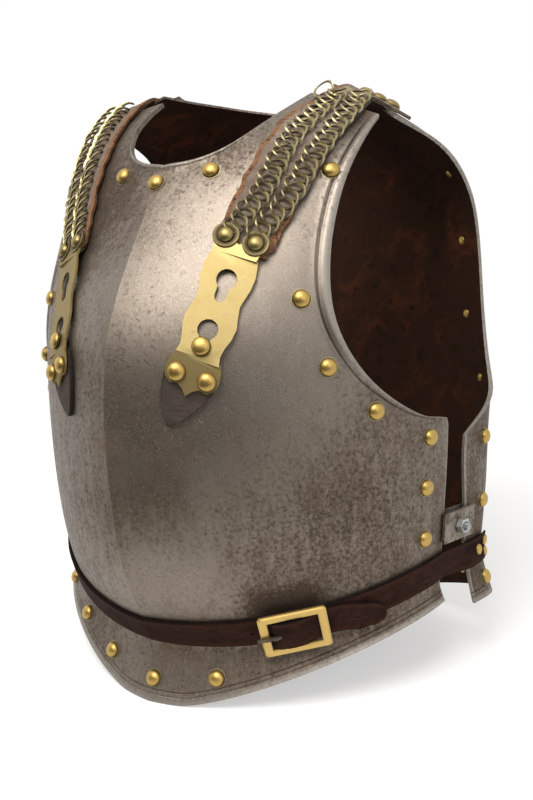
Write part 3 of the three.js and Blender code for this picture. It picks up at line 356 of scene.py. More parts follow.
@dataclass
class BreastShape(PlateShape):
    """The breastplate's form, with its ridge."""

    DEPTH, KEEL = 175.5, 15
    WAIST_HEIGHT, WAIST_RISE, WAIST_POWER = 38, 28, 4.4 / 1.67

    ridge: Curve = field(default=None)
    side: Curve = field(default=None)
    keel: Curve = field(default=None)

    def sizes(self, t: float) -> tuple[Place, Place, float, float]:
        """The spine's and the side's place, the keel and the bulge of the section at t."""
        level = self.height * t
        spine, side = (-self.DEPTH * self.ridge(t), level), (-self.DEPTH * self.side(t), level)
        return spine, side, self.KEEL * max(self.keel(t), 0), 0.0

    def waist(self, q: float) -> float:
        """Where the waist's fold runs, at the place q round the plate."""
        rise = self.WAIST_RISE * math.sin(clamp(q) * QUARTER) ** self.WAIST_POWER
        return (self.WAIST_HEIGHT + rise) / self.height


@dataclass
class BackShape(PlateShape):
    """The backplate's form, which leans back over the shoulder blades."""

    DEPTH, EDGE, BULGE = 134, 10, 18

    spine: Curve = field(default=None)
    spine_height: Curve = field(default=None)
    side_height: Curve = field(default=None)
    edge: Curve = field(default=None)
    bulge: Curve = field(default=None)

    def sizes(self, t: float) -> tuple[Place, Place, float, float]:
        """The spine's and the side's place, the keel and the bulge of the section at t."""
        spine = (self.DEPTH * self.spine(t), self.height * self.spine_height(t))
        side = (self.EDGE * self.edge(t), self.height * self.side_height(t))
        return spine, side, 0.0, self.BULGE * self.bulge(t)

    def waist(self, q: float) -> float:
        """The waist's fold is the lowest section."""
        return 0.0


BREAST = BreastShape(
    facing=-1, wall=3, height=425, half_width=167.6, flare=16, side_flare=4, flange_side_rise=54,
    flat_share=0.13, columns=10, rows=16, arm_bead_top=402,
    width=Curve([[0.09, 0.953], [0.15, 0.962], [0.3, 0.985], [0.44, 1], [0.6, 0.99], [0.78, 0.965],
                 [0.94, 0.88], [1, 0.865]]),
    fullness=Curve([[0.09, 1.67], [0.25, 1.74], [0.45, 1.72], [0.65, 1.74], [0.85, 1.62], [1, 1.6]]),
    ridge=Curve([[0.09, 0.763], [0.2, 0.92], [0.3, 0.978], [0.4, 1], [0.5, 0.997], [0.59, 0.96],
                 [0.68, 0.862], [0.776, 0.71], [0.86, 0.566], [0.94, 0.33], [1, 0.01]]),
    side=Curve([[0.09, 0.074], [0.44, 0.074], [0.6, 0.074], [0.78, 0.085], [0.94, 0.012], [1, -0.1]]),
    keel=Curve([[0.09, 0], [0.2, 0.8], [0.3, 1], [0.6, 1], [0.75, 0.6], [0.85, 0.14], [1, 0]]),
    arm=[[1, 0.4424], [0.95, 0.464], [0.834, 0.532], [0.745, 0.625], [0.715, 0.72], [0.735, 0.8],
         [0.845, 0.935]],
    neck=[[0, 0.859], [0.16, 0.868], [0.275, 0.888], [0.36, 0.92], [0.42, 0.955], [0.455, 0.985]],
    rivets=[[0, 0.8306], [0.2375, 0.8457], [0.645, 0.65], [0.731, 0.549], [0.853, 0.4765], [0.7, 0.84],
            [0.975, 0.4207], [0.971, 0.339], [0.973, 0.252]],
    flange_rivets=[0, 0.28], right_flange_rivets=[0.54, 0.78, 0.945],
)
BACK = BackShape(
    facing=1, wall=2, height=456, half_width=172, flare=18, side_flare=9, flange_side_rise=46,
    flat_share=0.2, columns=9, rows=14, arm_bead_top=395,
    width=Curve([[0, 0.994], [0.2, 0.997], [0.4, 1], [0.6, 1.045], [0.8, 1.05], [0.9, 1], [1, 0.89]]),
    fullness=Curve([[0, 2.5], [0.3, 2.6], [0.6, 2.5], [0.8, 2.2], [0.9, 1.9], [1, 1.7]]),
    spine=Curve([[0, 0.686], [0.2, 0.82], [0.4, 0.94], [0.6, 0.985], [0.8, 0.9], [0.9, 0.62], [1, 0.015]]),
    spine_height=Curve([[0, 0.1316], [0.2, 0.29], [0.4, 0.465], [0.6, 0.66], [0.8, 0.85], [0.9, 0.936],
                        [1, 0.969]]),
    side_height=Curve([[0, 0.2018], [0.2, 0.29], [0.4, 0.377], [0.6, 0.487], [0.8, 0.622], [0.9, 0.7],
                       [1, 0.788]]),
    edge=Curve([[0, 1.1], [0.4, 1], [0.8, 1.2], [0.9, 0.9], [1, 0.2]]),
    bulge=Curve([[0, 0.9], [0.3, 1], [0.6, 0.78], [0.8, 0.45], [1, 0]]),
    arm=[[1, 0.4], [0.905, 0.445], [0.845, 0.53], [0.805, 0.66], [0.79, 0.8], [0.78, 0.9], [0.815, 1]],
    neck=[[0, 0.868], [0.14, 0.878], [0.3, 0.905], [0.42, 0.95], [0.5, 1]],
    rivets=[[0, 0.815], [0.2, 0.83], [0.7, 0.8], [0.72, 0.66], [0.76, 0.52], [0.86, 0.41], [0.985, 0.33],
            [0.985, 0.14]],
    flange_rivets=[0, 0.3, 0.56, 0.8, 0.985], right_flange_rivets=[],
)


def frame_at(origin: Vector, normal: Vector, toward: Vector) -> Matrix:
    """A frame whose Z is the normal and whose Y leans as near as it can to a direction."""
    z = normal.normalized()
    y = (toward - z * toward.dot(z)).normalized()
    x = y.cross(z)
    turn = Matrix((x, y, z)).transposed().to_4x4()
    turn.translation = origin
    return turn


def smooth_places(table: Table, count: int) -> list[tuple[float, float]]:
    """Even steps along a smooth line through a table of places."""
    route = Route([Vector((s, t, 0)) for s, t in table])
    return [route.at(share).xy.to_tuple() for share in shares(count)]


def beside(shape: PlateShape, place: Sequence[float], along: Vector, lateral: float,
           lift: float) -> tuple[Vector, Vector]:
    """The point and outward normal at a distance across a route that runs over a plate.

    Args:
        shape: the plate that carries the route.
        place: the route's place, as shares of half width and height.
        along: the route's direction there.
        lateral: the distance across it, outwards.
        lift: the height above the plate.

    Returns:
        The point and the outward normal.
    """
    s, t = place
    ds = (shape.surface(s + NUDGE, t) - shape.surface(s - NUDGE, t)) / (2 * NUDGE)
    dt = (shape.surface(s, t + NUDGE) - shape.surface(s, t - NUDGE)) / (2 * NUDGE)
    side = along.cross(shape.normal(s, t)).normalized()
    if side.x < 0:
        side.negate()
    a, b, c = ds.dot(ds), ds.dot(dt), dt.dot(dt)
    p, q = side.dot(ds) * lateral, side.dot(dt) * lateral
    det = a * c - b * b
    s, t = s + (c * p - b * q) / det, t + (a * q - b * p) / det
    normal = shape.normal(s, t)
    return shape.surface(s, t) + normal * lift, normal


@dataclass(frozen=True)
class GridPlace:
    """One place of a plate: its bare point, how a turned edge lifts it and how far it is from each edge."""

    bare: Vector
    q: float
    lift: float
    arm: float
    arm_fade: float
    neck: float
    neck_fade: float
    down: float = 0.0


class PlateGrid:
    """Half of a plate's outer face as rows of places, with its turned edges and its flange."""

    BEAD = [(0.0, 0.0), (0.12, 0.42), (0.28, 0.82), (0.5, 1.0), (0.72, 0.86), (0.88, 0.5), (1.0, 0.0)]
    NECK_BEAD_WIDTH, NECK_BEAD_RISE, NECK_BEAD_TOP = 4, 1.1, 395
    ARM_BEAD_WIDTH, ARM_BEAD_RISE = 3.8, 1.35
    BEAD_FADE, FLANGE_DROP = 22, 30

    def __init__(self, shape: PlateShape, columns: int, rows: int, flange_rows: int) -> None:
        """Measures the plate's edges.

        Args:
            shape: the plate's form.
            columns: how many columns half of the plate has.
            rows: how many rows its body has.
            flange_rows: how many rows its flange has.
        """
        self.shape, self.columns, self.rows, self.flange_rows = shape, columns, rows, flange_rows
        corner = (shape.to_q(*shape.arm[0]), shape.arm[0][1])
        self.low = Line(shape, [(share, shape.waist(share)) for share in shares()])
        self.middle = Line(shape, straight((0, shape.waist(0)), (0, shape.neck[0][1])))
        self.side = Line(shape, straight((1, shape.waist(1)), corner))
        self.arm = Line(shape, shape.outline(shape.arm))
        self.neck = Line(shape, shape.outline(shape.neck))
        self.shoulder = Line(shape, straight(self.neck.at(1), self.arm.at(1)))
        side_share = self.side.total / (self.side.total + self.arm.total)
        neck_share = self.neck.total / (self.neck.total + self.shoulder.total)
        self.bend = round(shape.rows * side_share) / shape.rows
        self.turn = round(shape.columns * neck_share) / shape.columns

    def right(self, v: float) -> tuple[float, ...]:
        """The side edge and the arm's edge, by the share of the rows."""
        if v <= self.bend:
            return self.side.at(v / self.bend)
        return self.arm.at((v - self.bend) / (1 - self.bend))

    def top(self, u: float) -> tuple[float, ...]:
        """The neck's edge and the shoulder's, by the share of the columns."""
        if u <= self.turn:
            return self.neck.at(u / self.turn)
        return self.shoulder.at((u - self.turn) / (1 - self.turn))

    def place(self, u: float, v: float) -> tuple[float, float]:
        """The place on the plate at shares of the columns and the rows."""
        across = mix(self.middle.at(v), self.right(v), u)
        along = mix(self.low.at(u), self.top(u), v)
        corners = mix(mix(self.low.at(0), self.low.at(1), u), mix(self.top(0), self.top(1), u), v)
        return tuple(a + b - c for a, b, c in zip(across, along, corners))

    def spaced(self, count: int, edge: float, length: float) -> list[float]:
        """Even places, with close ones over a turned edge at the far end."""
        last = 1 - edge / length
        return [last * share for share in shares(count)] + [last + (1 - last) * a for a, _ in self.BEAD[1:]]

    def places(self) -> list[list[GridPlace]]:
        """The rows of the half plate from the flange's edge to the top."""
        shape = self.shape
        tall = Line(shape, [self.place(0, share) for share in shares()]).total
        found = []
        for j, v in enumerate(self.spaced(self.rows, self.NECK_BEAD_WIDTH, tall)):
            wide = Line(shape, [self.place(share, v) for share in shares()]).total
            row = []
            for i, u in enumerate(self.spaced(self.columns, self.ARM_BEAD_WIDTH, wide)):
                q, t = self.place(u, v)
                bare = shape.section(q, t)
                neck_fade = clamp((self.NECK_BEAD_TOP - bare.z) / self.BEAD_FADE) if u <= self.turn else 0
                arm_fade = clamp(min((v - self.bend) * 8, (shape.arm_bead_top - bare.z) / self.BEAD_FADE))
                arm = self.BEAD[i - self.columns][1] if i > self.columns else 0
                neck = self.BEAD[j - self.rows][1] if j > self.rows else 0
                lift = max(self.ARM_BEAD_RISE * arm_fade * arm, self.NECK_BEAD_RISE * neck_fade * neck)
                row.append(GridPlace(bare, q, lift, (1 - u) * wide, arm_fade, (1 - v) * tall, neck_fade))
            found.append(row)
        flange = []
        for k in range(self.flange_rows):
            down = 1 - k / self.flange_rows
            flange.append([
                replace(place, bare=shape.flange(place.q, down), lift=0.0, down=down,
                        neck=place.neck + self.FLANGE_DROP * down)
                for place in found[0]
            ])
        return flange + found


class Shader:
    """The nodes of one material or of the world, which are added one at a time."""

    def __init__(self, owner: bpy.types.ID) -> None:
        """Empties a node tree.

        Args:
            owner: the material or the world that has it.
        """
        owner.use_nodes = True
        self.owner, self.tree = owner, owner.node_tree
        self.tree.nodes.clear()

    @classmethod
    def named(cls, name: str) -> "Shader":
        """The nodes of a new material."""
        return cls(bpy.data.materials.new(name))

    def signal(self, kind: str, settings: Optional[dict] = None, inputs: Optional[dict] = None,
               output: int | str = 0) -> "Signal":
        """Adds a node.

        Args:
            kind: the node's type.
            settings: its own settings, set first.
            inputs: values or signals by the name or number of the socket.
            output: which of its outputs is wanted.

        Returns:
            What the node gives out.
        """
        node = self.node(kind, settings, inputs)
        return Signal(self, node.outputs[output])

    def node(self, kind: str, settings: Optional[dict] = None,
             inputs: Optional[dict] = None) -> bpy.types.Node:
        """Adds a node whose outputs are asked for later, or that has none."""
        node = self.tree.nodes.new(kind)
        for key, value in (settings or {}).items():
            setattr(node, key, value)
        for key, value in (inputs or {}).items():
            self.feed(node.inputs[key], value)
        return node

    def feed(self, socket: bpy.types.NodeSocket, value: object) -> None:
        """Links a signal to a socket, or sets the socket's own value."""
        if isinstance(value, Signal):
            self.tree.links.new(value.socket, socket)
        elif isinstance(value, (tuple, list)) and socket.type == "RGBA" and len(value) == 3:
            socket.default_value = (*value, 1.0)
        else:
            socket.default_value = value

    def attribute(self, name: str) -> "Signal":
        """The number that a piece's mesh holds under a name."""
        return self.signal("ShaderNodeAttribute", {"attribute_name": name}, output="Fac")

    def place(self) -> "Signal":
        """The place on the object, in metres."""
        return self.signal("ShaderNodeTexCoord", output="Object")

    def scaled(self, x: float, y: float, z: float) -> "Signal":
        """The place on the object, stretched along its axes."""
        return self.signal("ShaderNodeMapping", {}, {"Vector": self.place(), "Scale": (x, y, z)}, "Vector")

    def grain(self, scale: float, detail: float = 4, rough: float = 0.55, where: Optional["Signal"] = None,
              warp: float = 0.0) -> "Signal":
        """Cloudy noise from 0 to 1, centred on 0.5."""
        inputs = {"Vector": where or self.place(), "Scale": scale, "Detail": detail, "Roughness": rough,
                  "Distortion": warp}
        return self.signal("ShaderNodeTexNoise", {}, inputs, "Fac")

    def blend(self, part: object, first: object, second: object) -> "Signal":
        """Mixes two colours by a part of the way."""
        return self.signal("ShaderNodeMix", {"data_type": "RGBA"}, {0: part, 6: first, 7: second}, 2)

    def bump(self, height: "Signal", depth: float) -> "Signal":
        """The surface's normal with relief of a depth in metres."""
        inputs = {"Height": height, "Strength": 1.0, "Distance": depth}
        return self.signal("ShaderNodeBump", {}, inputs, "Normal")

    def either(self, part: "Signal", first: "Signal", second: "Signal") -> "Signal":
        """Mixes two shaders by a part of the way."""
        return self.signal("ShaderNodeMixShader", {}, {0: part, 1: first, 2: second})

    def matt(self, grey: float) -> "Signal":
        """A dull shader that gives back a share of the light."""
        return self.signal("ShaderNodeBsdfDiffuse", {}, {"Color": (grey, grey, grey)})

    def end(self, surface: "Signal", kind: str = "ShaderNodeOutputMaterial") -> bpy.types.ID:
        """Ends the tree in a shader.

        Args:
            surface: the shader.
            kind: the last node's type.

        Returns:
            The finished material or world.
        """
        self.node(kind, {}, {"Surface": surface})
        return self.owner

    def surface(self, inputs: dict) -> bpy.types.Material:
        """Ends the material in the common shader, with values or signals by the name of its socket."""
        return self.end(self.signal("ShaderNodeBsdfPrincipled", {}, inputs, "BSDF"))


@dataclass(frozen=True)
class Signal:
    """A varying number, colour or shader in a material, with sums written as plain arithmetic."""

    shader: Shader
    socket: bpy.types.NodeSocket

    def maths(self, operation: str, first: object, second: object = None, clamped: bool = False) -> "Signal":
        """Adds a sum.

        Args:
            operation: the Math node's operation.
            first: its first value or signal.
            second: its second one, if any.
            clamped: whether the result is held between 0 and 1.

        Returns:
            The sum's result.
        """
        inputs = {0: first} if second is None else {0: first, 1: second}
        return self.shader.signal("ShaderNodeMath", {"operation": operation, "use_clamp": clamped}, inputs)

    def __add__(self, other: object) -> "Signal":
        """The sum."""
        return self.maths("ADD", self, other)

    __radd__ = __add__

    def __sub__(self, other: object) -> "Signal":
        """The difference."""
        return self.maths("SUBTRACT", self, other)

    def __rsub__(self, other: object) -> "Signal":
        """The difference from a number."""
        return self.maths("SUBTRACT", other, self)

    def __mul__(self, other: object) -> "Signal":
        """The product."""
        return self.maths("MULTIPLY", self, other)

    __rmul__ = __mul__

    def __abs__(self) -> "Signal":
        """The size without its sign."""
        return self.maths("ABSOLUTE", self)

    def held(self) -> "Signal":
        """The number, held between 0 and 1."""
        return self.maths("ADD", self, 0.0, True)

    def most(self, other: object) -> "Signal":
        """The larger of two."""
        return self.maths("MAXIMUM", self, other)

    def step(self, low: float, high: float, top: float = 1.0) -> "Signal":
        """A smooth step from 0 at low to top at high; low may be the larger."""
        settings = {"interpolation_type": "SMOOTHSTEP"}
        inputs = {"Value": self, "From Min": low, "From Max": high, "To Min": 0.0, "To Max": top}
        return self.shader.signal("ShaderNodeMapRange", settings, inputs, "Result")

    def band(self, middle: float, half: float) -> "Signal":
        """A soft band of 1 round a middle value."""
        return abs(self - middle).step(half, 0.0)


def linear(share: float) -> float:
    """The linear value of a display value."""
    return share / 12.92 if share <= 0.04045 else ((share + 0.055) / 1.055) ** 2.4


def tone(red: int, green: int, blue: int) -> Colour:
    """The linear colour of a display colour given in steps of 255."""
    return linear(red / 255), linear(green / 255), linear(blue / 255)


class Slot(Enum):
    """The part's material slots."""

    STEEL = "steel"
    BRASS = "brass"
    CHAIN = "chain_brass"
    BUCKLE = "buckle_brass"
    STRAP = "strap_hide"
    LEAF = "leaf_hide"
    BELT = "belt_hide"
    TONGUE = "tongue_steel"
    CLAMP = "clamp_steel"
    ZINC = "zinc"


@dataclass(frozen=True)
class PlateSteel:
    """Old rolled steel of the plates: satin in places and browned and pitted elsewhere, with painted
    highlight on the upper chest, on a spot of the belly and along the turned edges.
    """

    bright: Colour = (0.235, 0.198, 0.162)
    brown: Colour = (0.112, 0.08, 0.056)
    pit: Colour = (0.036, 0.026, 0.019)
    rust: Colour = (0.115, 0.058, 0.03)
    # A pale tone for scratches and for the paler edges, which are partly rubbed and partly painted highlight
    edge: Colour = (0.4, 0.37, 0.33)

    def outside(self) -> bpy.types.Material:
        """The outer face, with its incised line, its turned edges made paler by rubbing and by painted
        highlight, and its darker spots and brighter spots of painted highlight.
        """
        s = Shader.named("plate_outside")
        cloud = s.grain(11, 4, 0.55, warp=0.5)
        mottle = s.grain(380, 5, 0.72, warp=0.3)
        fine = s.grain(1000, 4, 0.7)
        brushed = s.grain(170, 4, 0.65, where=s.scaled(1.0, 1.0, 0.25))
        # Darker in soft spots; where the mark is below nothing the steel is brighter, which is painted
        # highlight
        stain = s.attribute("stain")
        worn = (cloud * 0.36 + mottle * 0.34 + brushed * 0.3 + stain * 0.15).step(0.37, 0.63)
        colour = s.blend(worn, self.bright, self.brown)
        rusty = s.attribute("rust")
        damp = cloud * 0.35 + s.grain(34, 4, 0.6, warp=0.8) * 0.65 + stain * 0.05 + rusty * 0.22
        patch = damp.step(0.58, 0.78, 0.55)
        colour = s.blend(patch, colour, self.rust)
        speck = (fine * 0.4 + mottle * 0.6 + brushed * 0.12 - 0.06 + stain * 0.08).step(0.5, 0.6, 0.6)
        colour = s.blend(speck, colour, self.pit)
        shine = (fine * 0.7 + brushed * 0.3 - stain * 0.05).step(0.53, 0.64, 0.35)
        colour = s.blend(shine, colour, self.edge)
        # Beads, the flange's rim, the arm's edge and a faint line on the ridge turn paler: partly wear and
        # partly painted highlight
        ridge = s.attribute("ridge_mm").band(0.0, 1.4) * 0.14
        rubbed = (s.attribute("rub") + ridge).held() * (1.2 - mottle).held()
        colour = s.blend(rubbed, colour, self.edge)
        rim = s.attribute("rim_mm")
        groove = (rim.band(8.0, 0.8) + rim.band(5.0, 0.7) * 0.8) * s.attribute("lined")
        seam = s.attribute("arm_mm").band(4.7, 1.0) * s.attribute("beaded")
        cut = (groove + seam).held() * (0.55 + fine * 0.6).held()
        colour = s.blend(cut * 0.9, colour, self.pit)
        rough = 0.47 + worn * 0.08 + speck * 0.2 + patch * 0.12 - rubbed * 0.06
        relief = fine * 0.45 - speck * 0.5 + mottle * 0.3 - cut * 1.6
        return s.surface({
            "Base Color": colour, "Metallic": 1.0 - patch * 0.4 - speck * 0.3, "Roughness": rough,
            "Normal": s.bump(relief, 0.0003),
        })

    def inside(self) -> bpy.types.Material:
        """The inner face, which was never polished and has rusted."""
        s = Shader.named("plate_inside")
        cloud = s.grain(28, 5, 0.6, warp=0.8)
        mottle = s.grain(120, 4, 0.6)
        blotch = (cloud * 0.6 + mottle * 0.4).step(0.48, 0.7)
        colour = s.blend(blotch, tone(45, 26, 15), tone(84, 44, 24))
        colour = s.blend(mottle.step(0.5, 0.7), colour, tone(32, 20, 13))
        return s.surface({
            "Base Color": colour, "Metallic": 0.0, "Roughness": 0.74 + mottle * 0.2,
            "Specular IOR Level": 0.12, "Normal": s.bump(mottle + cloud, 0.0004),
        })


@dataclass(frozen=True)
class Brass:
    """Cast or rolled brass, darker in its hollows and at its foot, which is painted shade, and paler on its
    crowns, which is painted highlight, with rubbing and grime at random.
    """

    name: str
    rubbed: Colour
    dull: Colour
    grime: Colour
    rough: float = 0.38
    relief: float = 0.00008

    def material(self) -> bpy.types.Material:
        """The brass, by the mark that tells how far each spot stands out."""
        s = Shader.named(self.name)
        cloud = s.grain(70, 4, 0.6, warp=0.5)
        fine = s.grain(620, 3, 0.6)
        crown = s.attribute("crown")
        # Paler where the crown mark is high, which is painted highlight; the noise adds rubbing at random
        worn = (crown * 0.75 + cloud * 0.5 + fine * 0.2 - 0.22).step(0.18, 0.72)
        colour = s.blend(worn, self.dull, self.rubbed)
        # Darker where the crown mark is low, in hollows and at the foot, which is painted shade; the noise
        # adds grime at random
        grime_and_shade = ((1.0 - crown) * 0.45 + cloud * 0.35 + fine * 0.3).step(0.52, 0.78, 0.85)
        colour = s.blend(grime_and_shade, colour, self.grime)
        colour = s.blend(s.attribute("collar"), colour, tone(158, 148, 118))
        rough = self.rough + grime_and_shade * 0.3 + fine * 0.08
        return s.surface({
            "Base Color": colour, "Metallic": 1.0 - grime_and_shade * 0.6, "Roughness": rough,
            "Normal": s.bump(fine * 0.6 + cloud, self.relief),
        })


@dataclass(frozen=True)
class Hide:
    """Old leather with a worn face, cracks across it and, on the straps, a torn border."""

    name: str
    face: Colour
    worn: Colour
    crack: Colour
    border: Colour
    cracking: float = 1.0
    gloss: float = 0.3

    def material(self) -> bpy.types.Material:
        """The leather, by the marks for its border and its cut edge."""
        s = Shader.named(self.name)
        cloud = s.grain(55, 5, 0.62, warp=0.7)
        fine = s.grain(420, 4, 0.65)
        lines = s.grain(95, 5, 0.6, where=s.scaled(0.5, 0.5, 1.8), warp=1.2)
        colour = s.blend((cloud * 0.7 + fine * 0.3).step(0.36, 0.64), self.face, self.worn)
        cracks = lines.band(0.5, 0.012) * self.cracking * cloud.step(0.5, 0.62)
        spots = fine.step(0.6, 0.72) * 0.6
        colour = s.blend((cracks + spots).held() * 0.8, colour, self.crack)
        fringe = (s.attribute("border") * 1.2 + cloud * 0.8 - 0.5).step(0.25, 0.62)
        torn = s.blend((fine * 0.6 + lines * 0.4).step(0.48, 0.64), self.border, tone(52, 28, 18))
        colour = s.blend(fringe * s.attribute("border").step(0.05, 0.3), colour, torn)
        # The cut mark darkens the leather's cut edges and, on the belt, the punched hole, whose dark is
        # painted shade
        cut = s.attribute("cut")
        colour = s.blend(cut * (0.75 - s.attribute("border") * 0.55), colour, self.crack)
        rough = 0.72 + fine * 0.2 - 0.1 * cloud
        relief = fine * 0.5 + cloud * 0.7 - cracks * 1.4
        return s.surface({
            "Base Color": colour, "Roughness": rough, "Specular IOR Level": self.gloss,
            "Normal": s.bump(relief, 0.0004),
        })


@dataclass(frozen=True)
class GreyMetal:
    """Plain grey metal with dull patches."""

    name: str
    light: Colour
    dark: Colour
    rough: float = 0.45

    def material(self) -> bpy.types.Material:
        """The grey metal."""
        s = Shader.named(self.name)
        cloud = s.grain(140, 4, 0.6, warp=0.4)
        fine = s.grain(800, 3, 0.6)
        colour = s.blend((cloud * 0.65 + fine * 0.35).step(0.4, 0.62), self.light, self.dark)
        return s.surface({
            "Base Color": colour, "Metallic": 0.9, "Roughness": self.rough + fine * 0.2,
            "Normal": s.bump(fine + cloud, 0.00008),
        })


class Palette:
    """Every finish of the cuirass, made once."""

    def __init__(self) -> None:
        """Makes the materials."""
        steel = PlateSteel()
        self.plate = steel.outside()
        self.lining = steel.inside()
        # The dark tone of grime and of the shade painted in the brass's hollows
        grime = tone(44, 36, 22)
        self.rivet = Brass("rivet_brass", tone(186, 156, 90), tone(118, 90, 46), grime).material()
        self.dull_rivet = Brass("dull_rivet_brass", tone(150, 132, 86), tone(88, 74, 45), grime).material()
        self.old_sheet_brass = Brass("tarnished_sheet_brass", tone(142, 124, 76), tone(108, 90, 50),
                                     tone(60, 46, 24), 0.5).material()
        self.sheet_brass = Brass("sheet_brass", tone(168, 150, 102), tone(142, 121, 72),
                                 tone(74, 58, 30), 0.45).material()
        # The chain's darkest tone is painted shade where its rings lie low, with grime at random
        self.chain = Brass("chain_links", tone(172, 160, 120), tone(84, 76, 50),
                           tone(26, 23, 15), 0.36).material()
        self.buckle = Brass("old_buckle", tone(206, 176, 108), tone(148, 116, 62),
                            tone(70, 46, 26), 0.42).material()
        self.strap = Hide("strap_leather_face", tone(106, 90, 78), tone(136, 120, 106),
                          tone(38, 27, 21), tone(126, 88, 58)).material()
        self.leaf = Hide("leaf_leather_face", tone(48, 40, 34), tone(66, 57, 50),
                         tone(24, 18, 15), tone(70, 44, 32), 0.4, 0.22).material()
        self.belt = Hide("belt_leather_face", tone(30, 15, 11), tone(52, 31, 25),
                         tone(11, 7, 6), tone(50, 30, 22), 0.9, 0.08).material()
        self.tongue = GreyMetal("tongue_iron", tone(104, 92, 78), tone(56, 46, 38)).material()
        self.clamp = GreyMetal("clamp_iron", tone(150, 143, 132), tone(96, 84, 70), 0.5).material()
        self.zinc = GreyMetal("zinc_plating", tone(186, 188, 190), tone(132, 132, 130), 0.34).material()


def mesh_of(bm: bmesh.types.BMesh, name: str) -> bpy.types.Mesh:
    """Ends a mesh in the making."""
    mesh = bpy.data.meshes.new(name)
    bm.to_mesh(mesh)
    bm.free()
    return mesh


def linked(name: str, data: bpy.types.ID) -> bpy.types.Object:
    """A new object in the scene."""
    obj = bpy.data.objects.new(name, data)
    bpy.context.scene.collection.objects.link(obj)
    return obj


def rounded(obj: bpy.types.Object, width: float, degrees: float) -> None:
    """Rounds an object's edges by a width in metres, where they turn by more than an angle."""
    bevel = obj.modifiers.new("rounding", "BEVEL")
    bevel.width, bevel.segments, bevel.limit_method = width, 2, "ANGLE"
    bevel.angle_limit = math.radians(degrees)


def smoothed(obj: bpy.types.Object, degrees: float) -> None:
    """Shades an object smooth, but for edges that turn by more than an angle."""
    bm = bmesh.new()
    bm.from_mesh(obj.data)
    for face in bm.faces:
        face.smooth = True
    for edge in bm.edges:
        if edge.calc_face_angle(0) > math.radians(degrees):
            edge.smooth = False
    bm.to_mesh(obj.data)
    bm.free()


@dataclass(frozen=True)
class Part:
    """What a finished piece is: its name, its body, its slot and the CAD nodes that it stands for."""

    name: str
    body: Body
    slot: Slot
    nodes: tuple[str, ...] = ()

    def settle(self, obj: bpy.types.Object, materials: Iterable[bpy.types.Material]) -> bpy.types.Object:
        """Dresses an object and hands it to its body.

        Args:
            obj: the object, already in its place.
            materials: its materials, by slot of the mesh.

        Returns:
            The same object.
        """
        for material in materials:
            obj.data.materials.append(material)
        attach(obj, self.body.value)
        if self.nodes:
            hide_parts(*self.nodes)
        log.info("%s rides %s with %d faces", self.name, self.body.value, len(obj.data.polygons))
        return obj


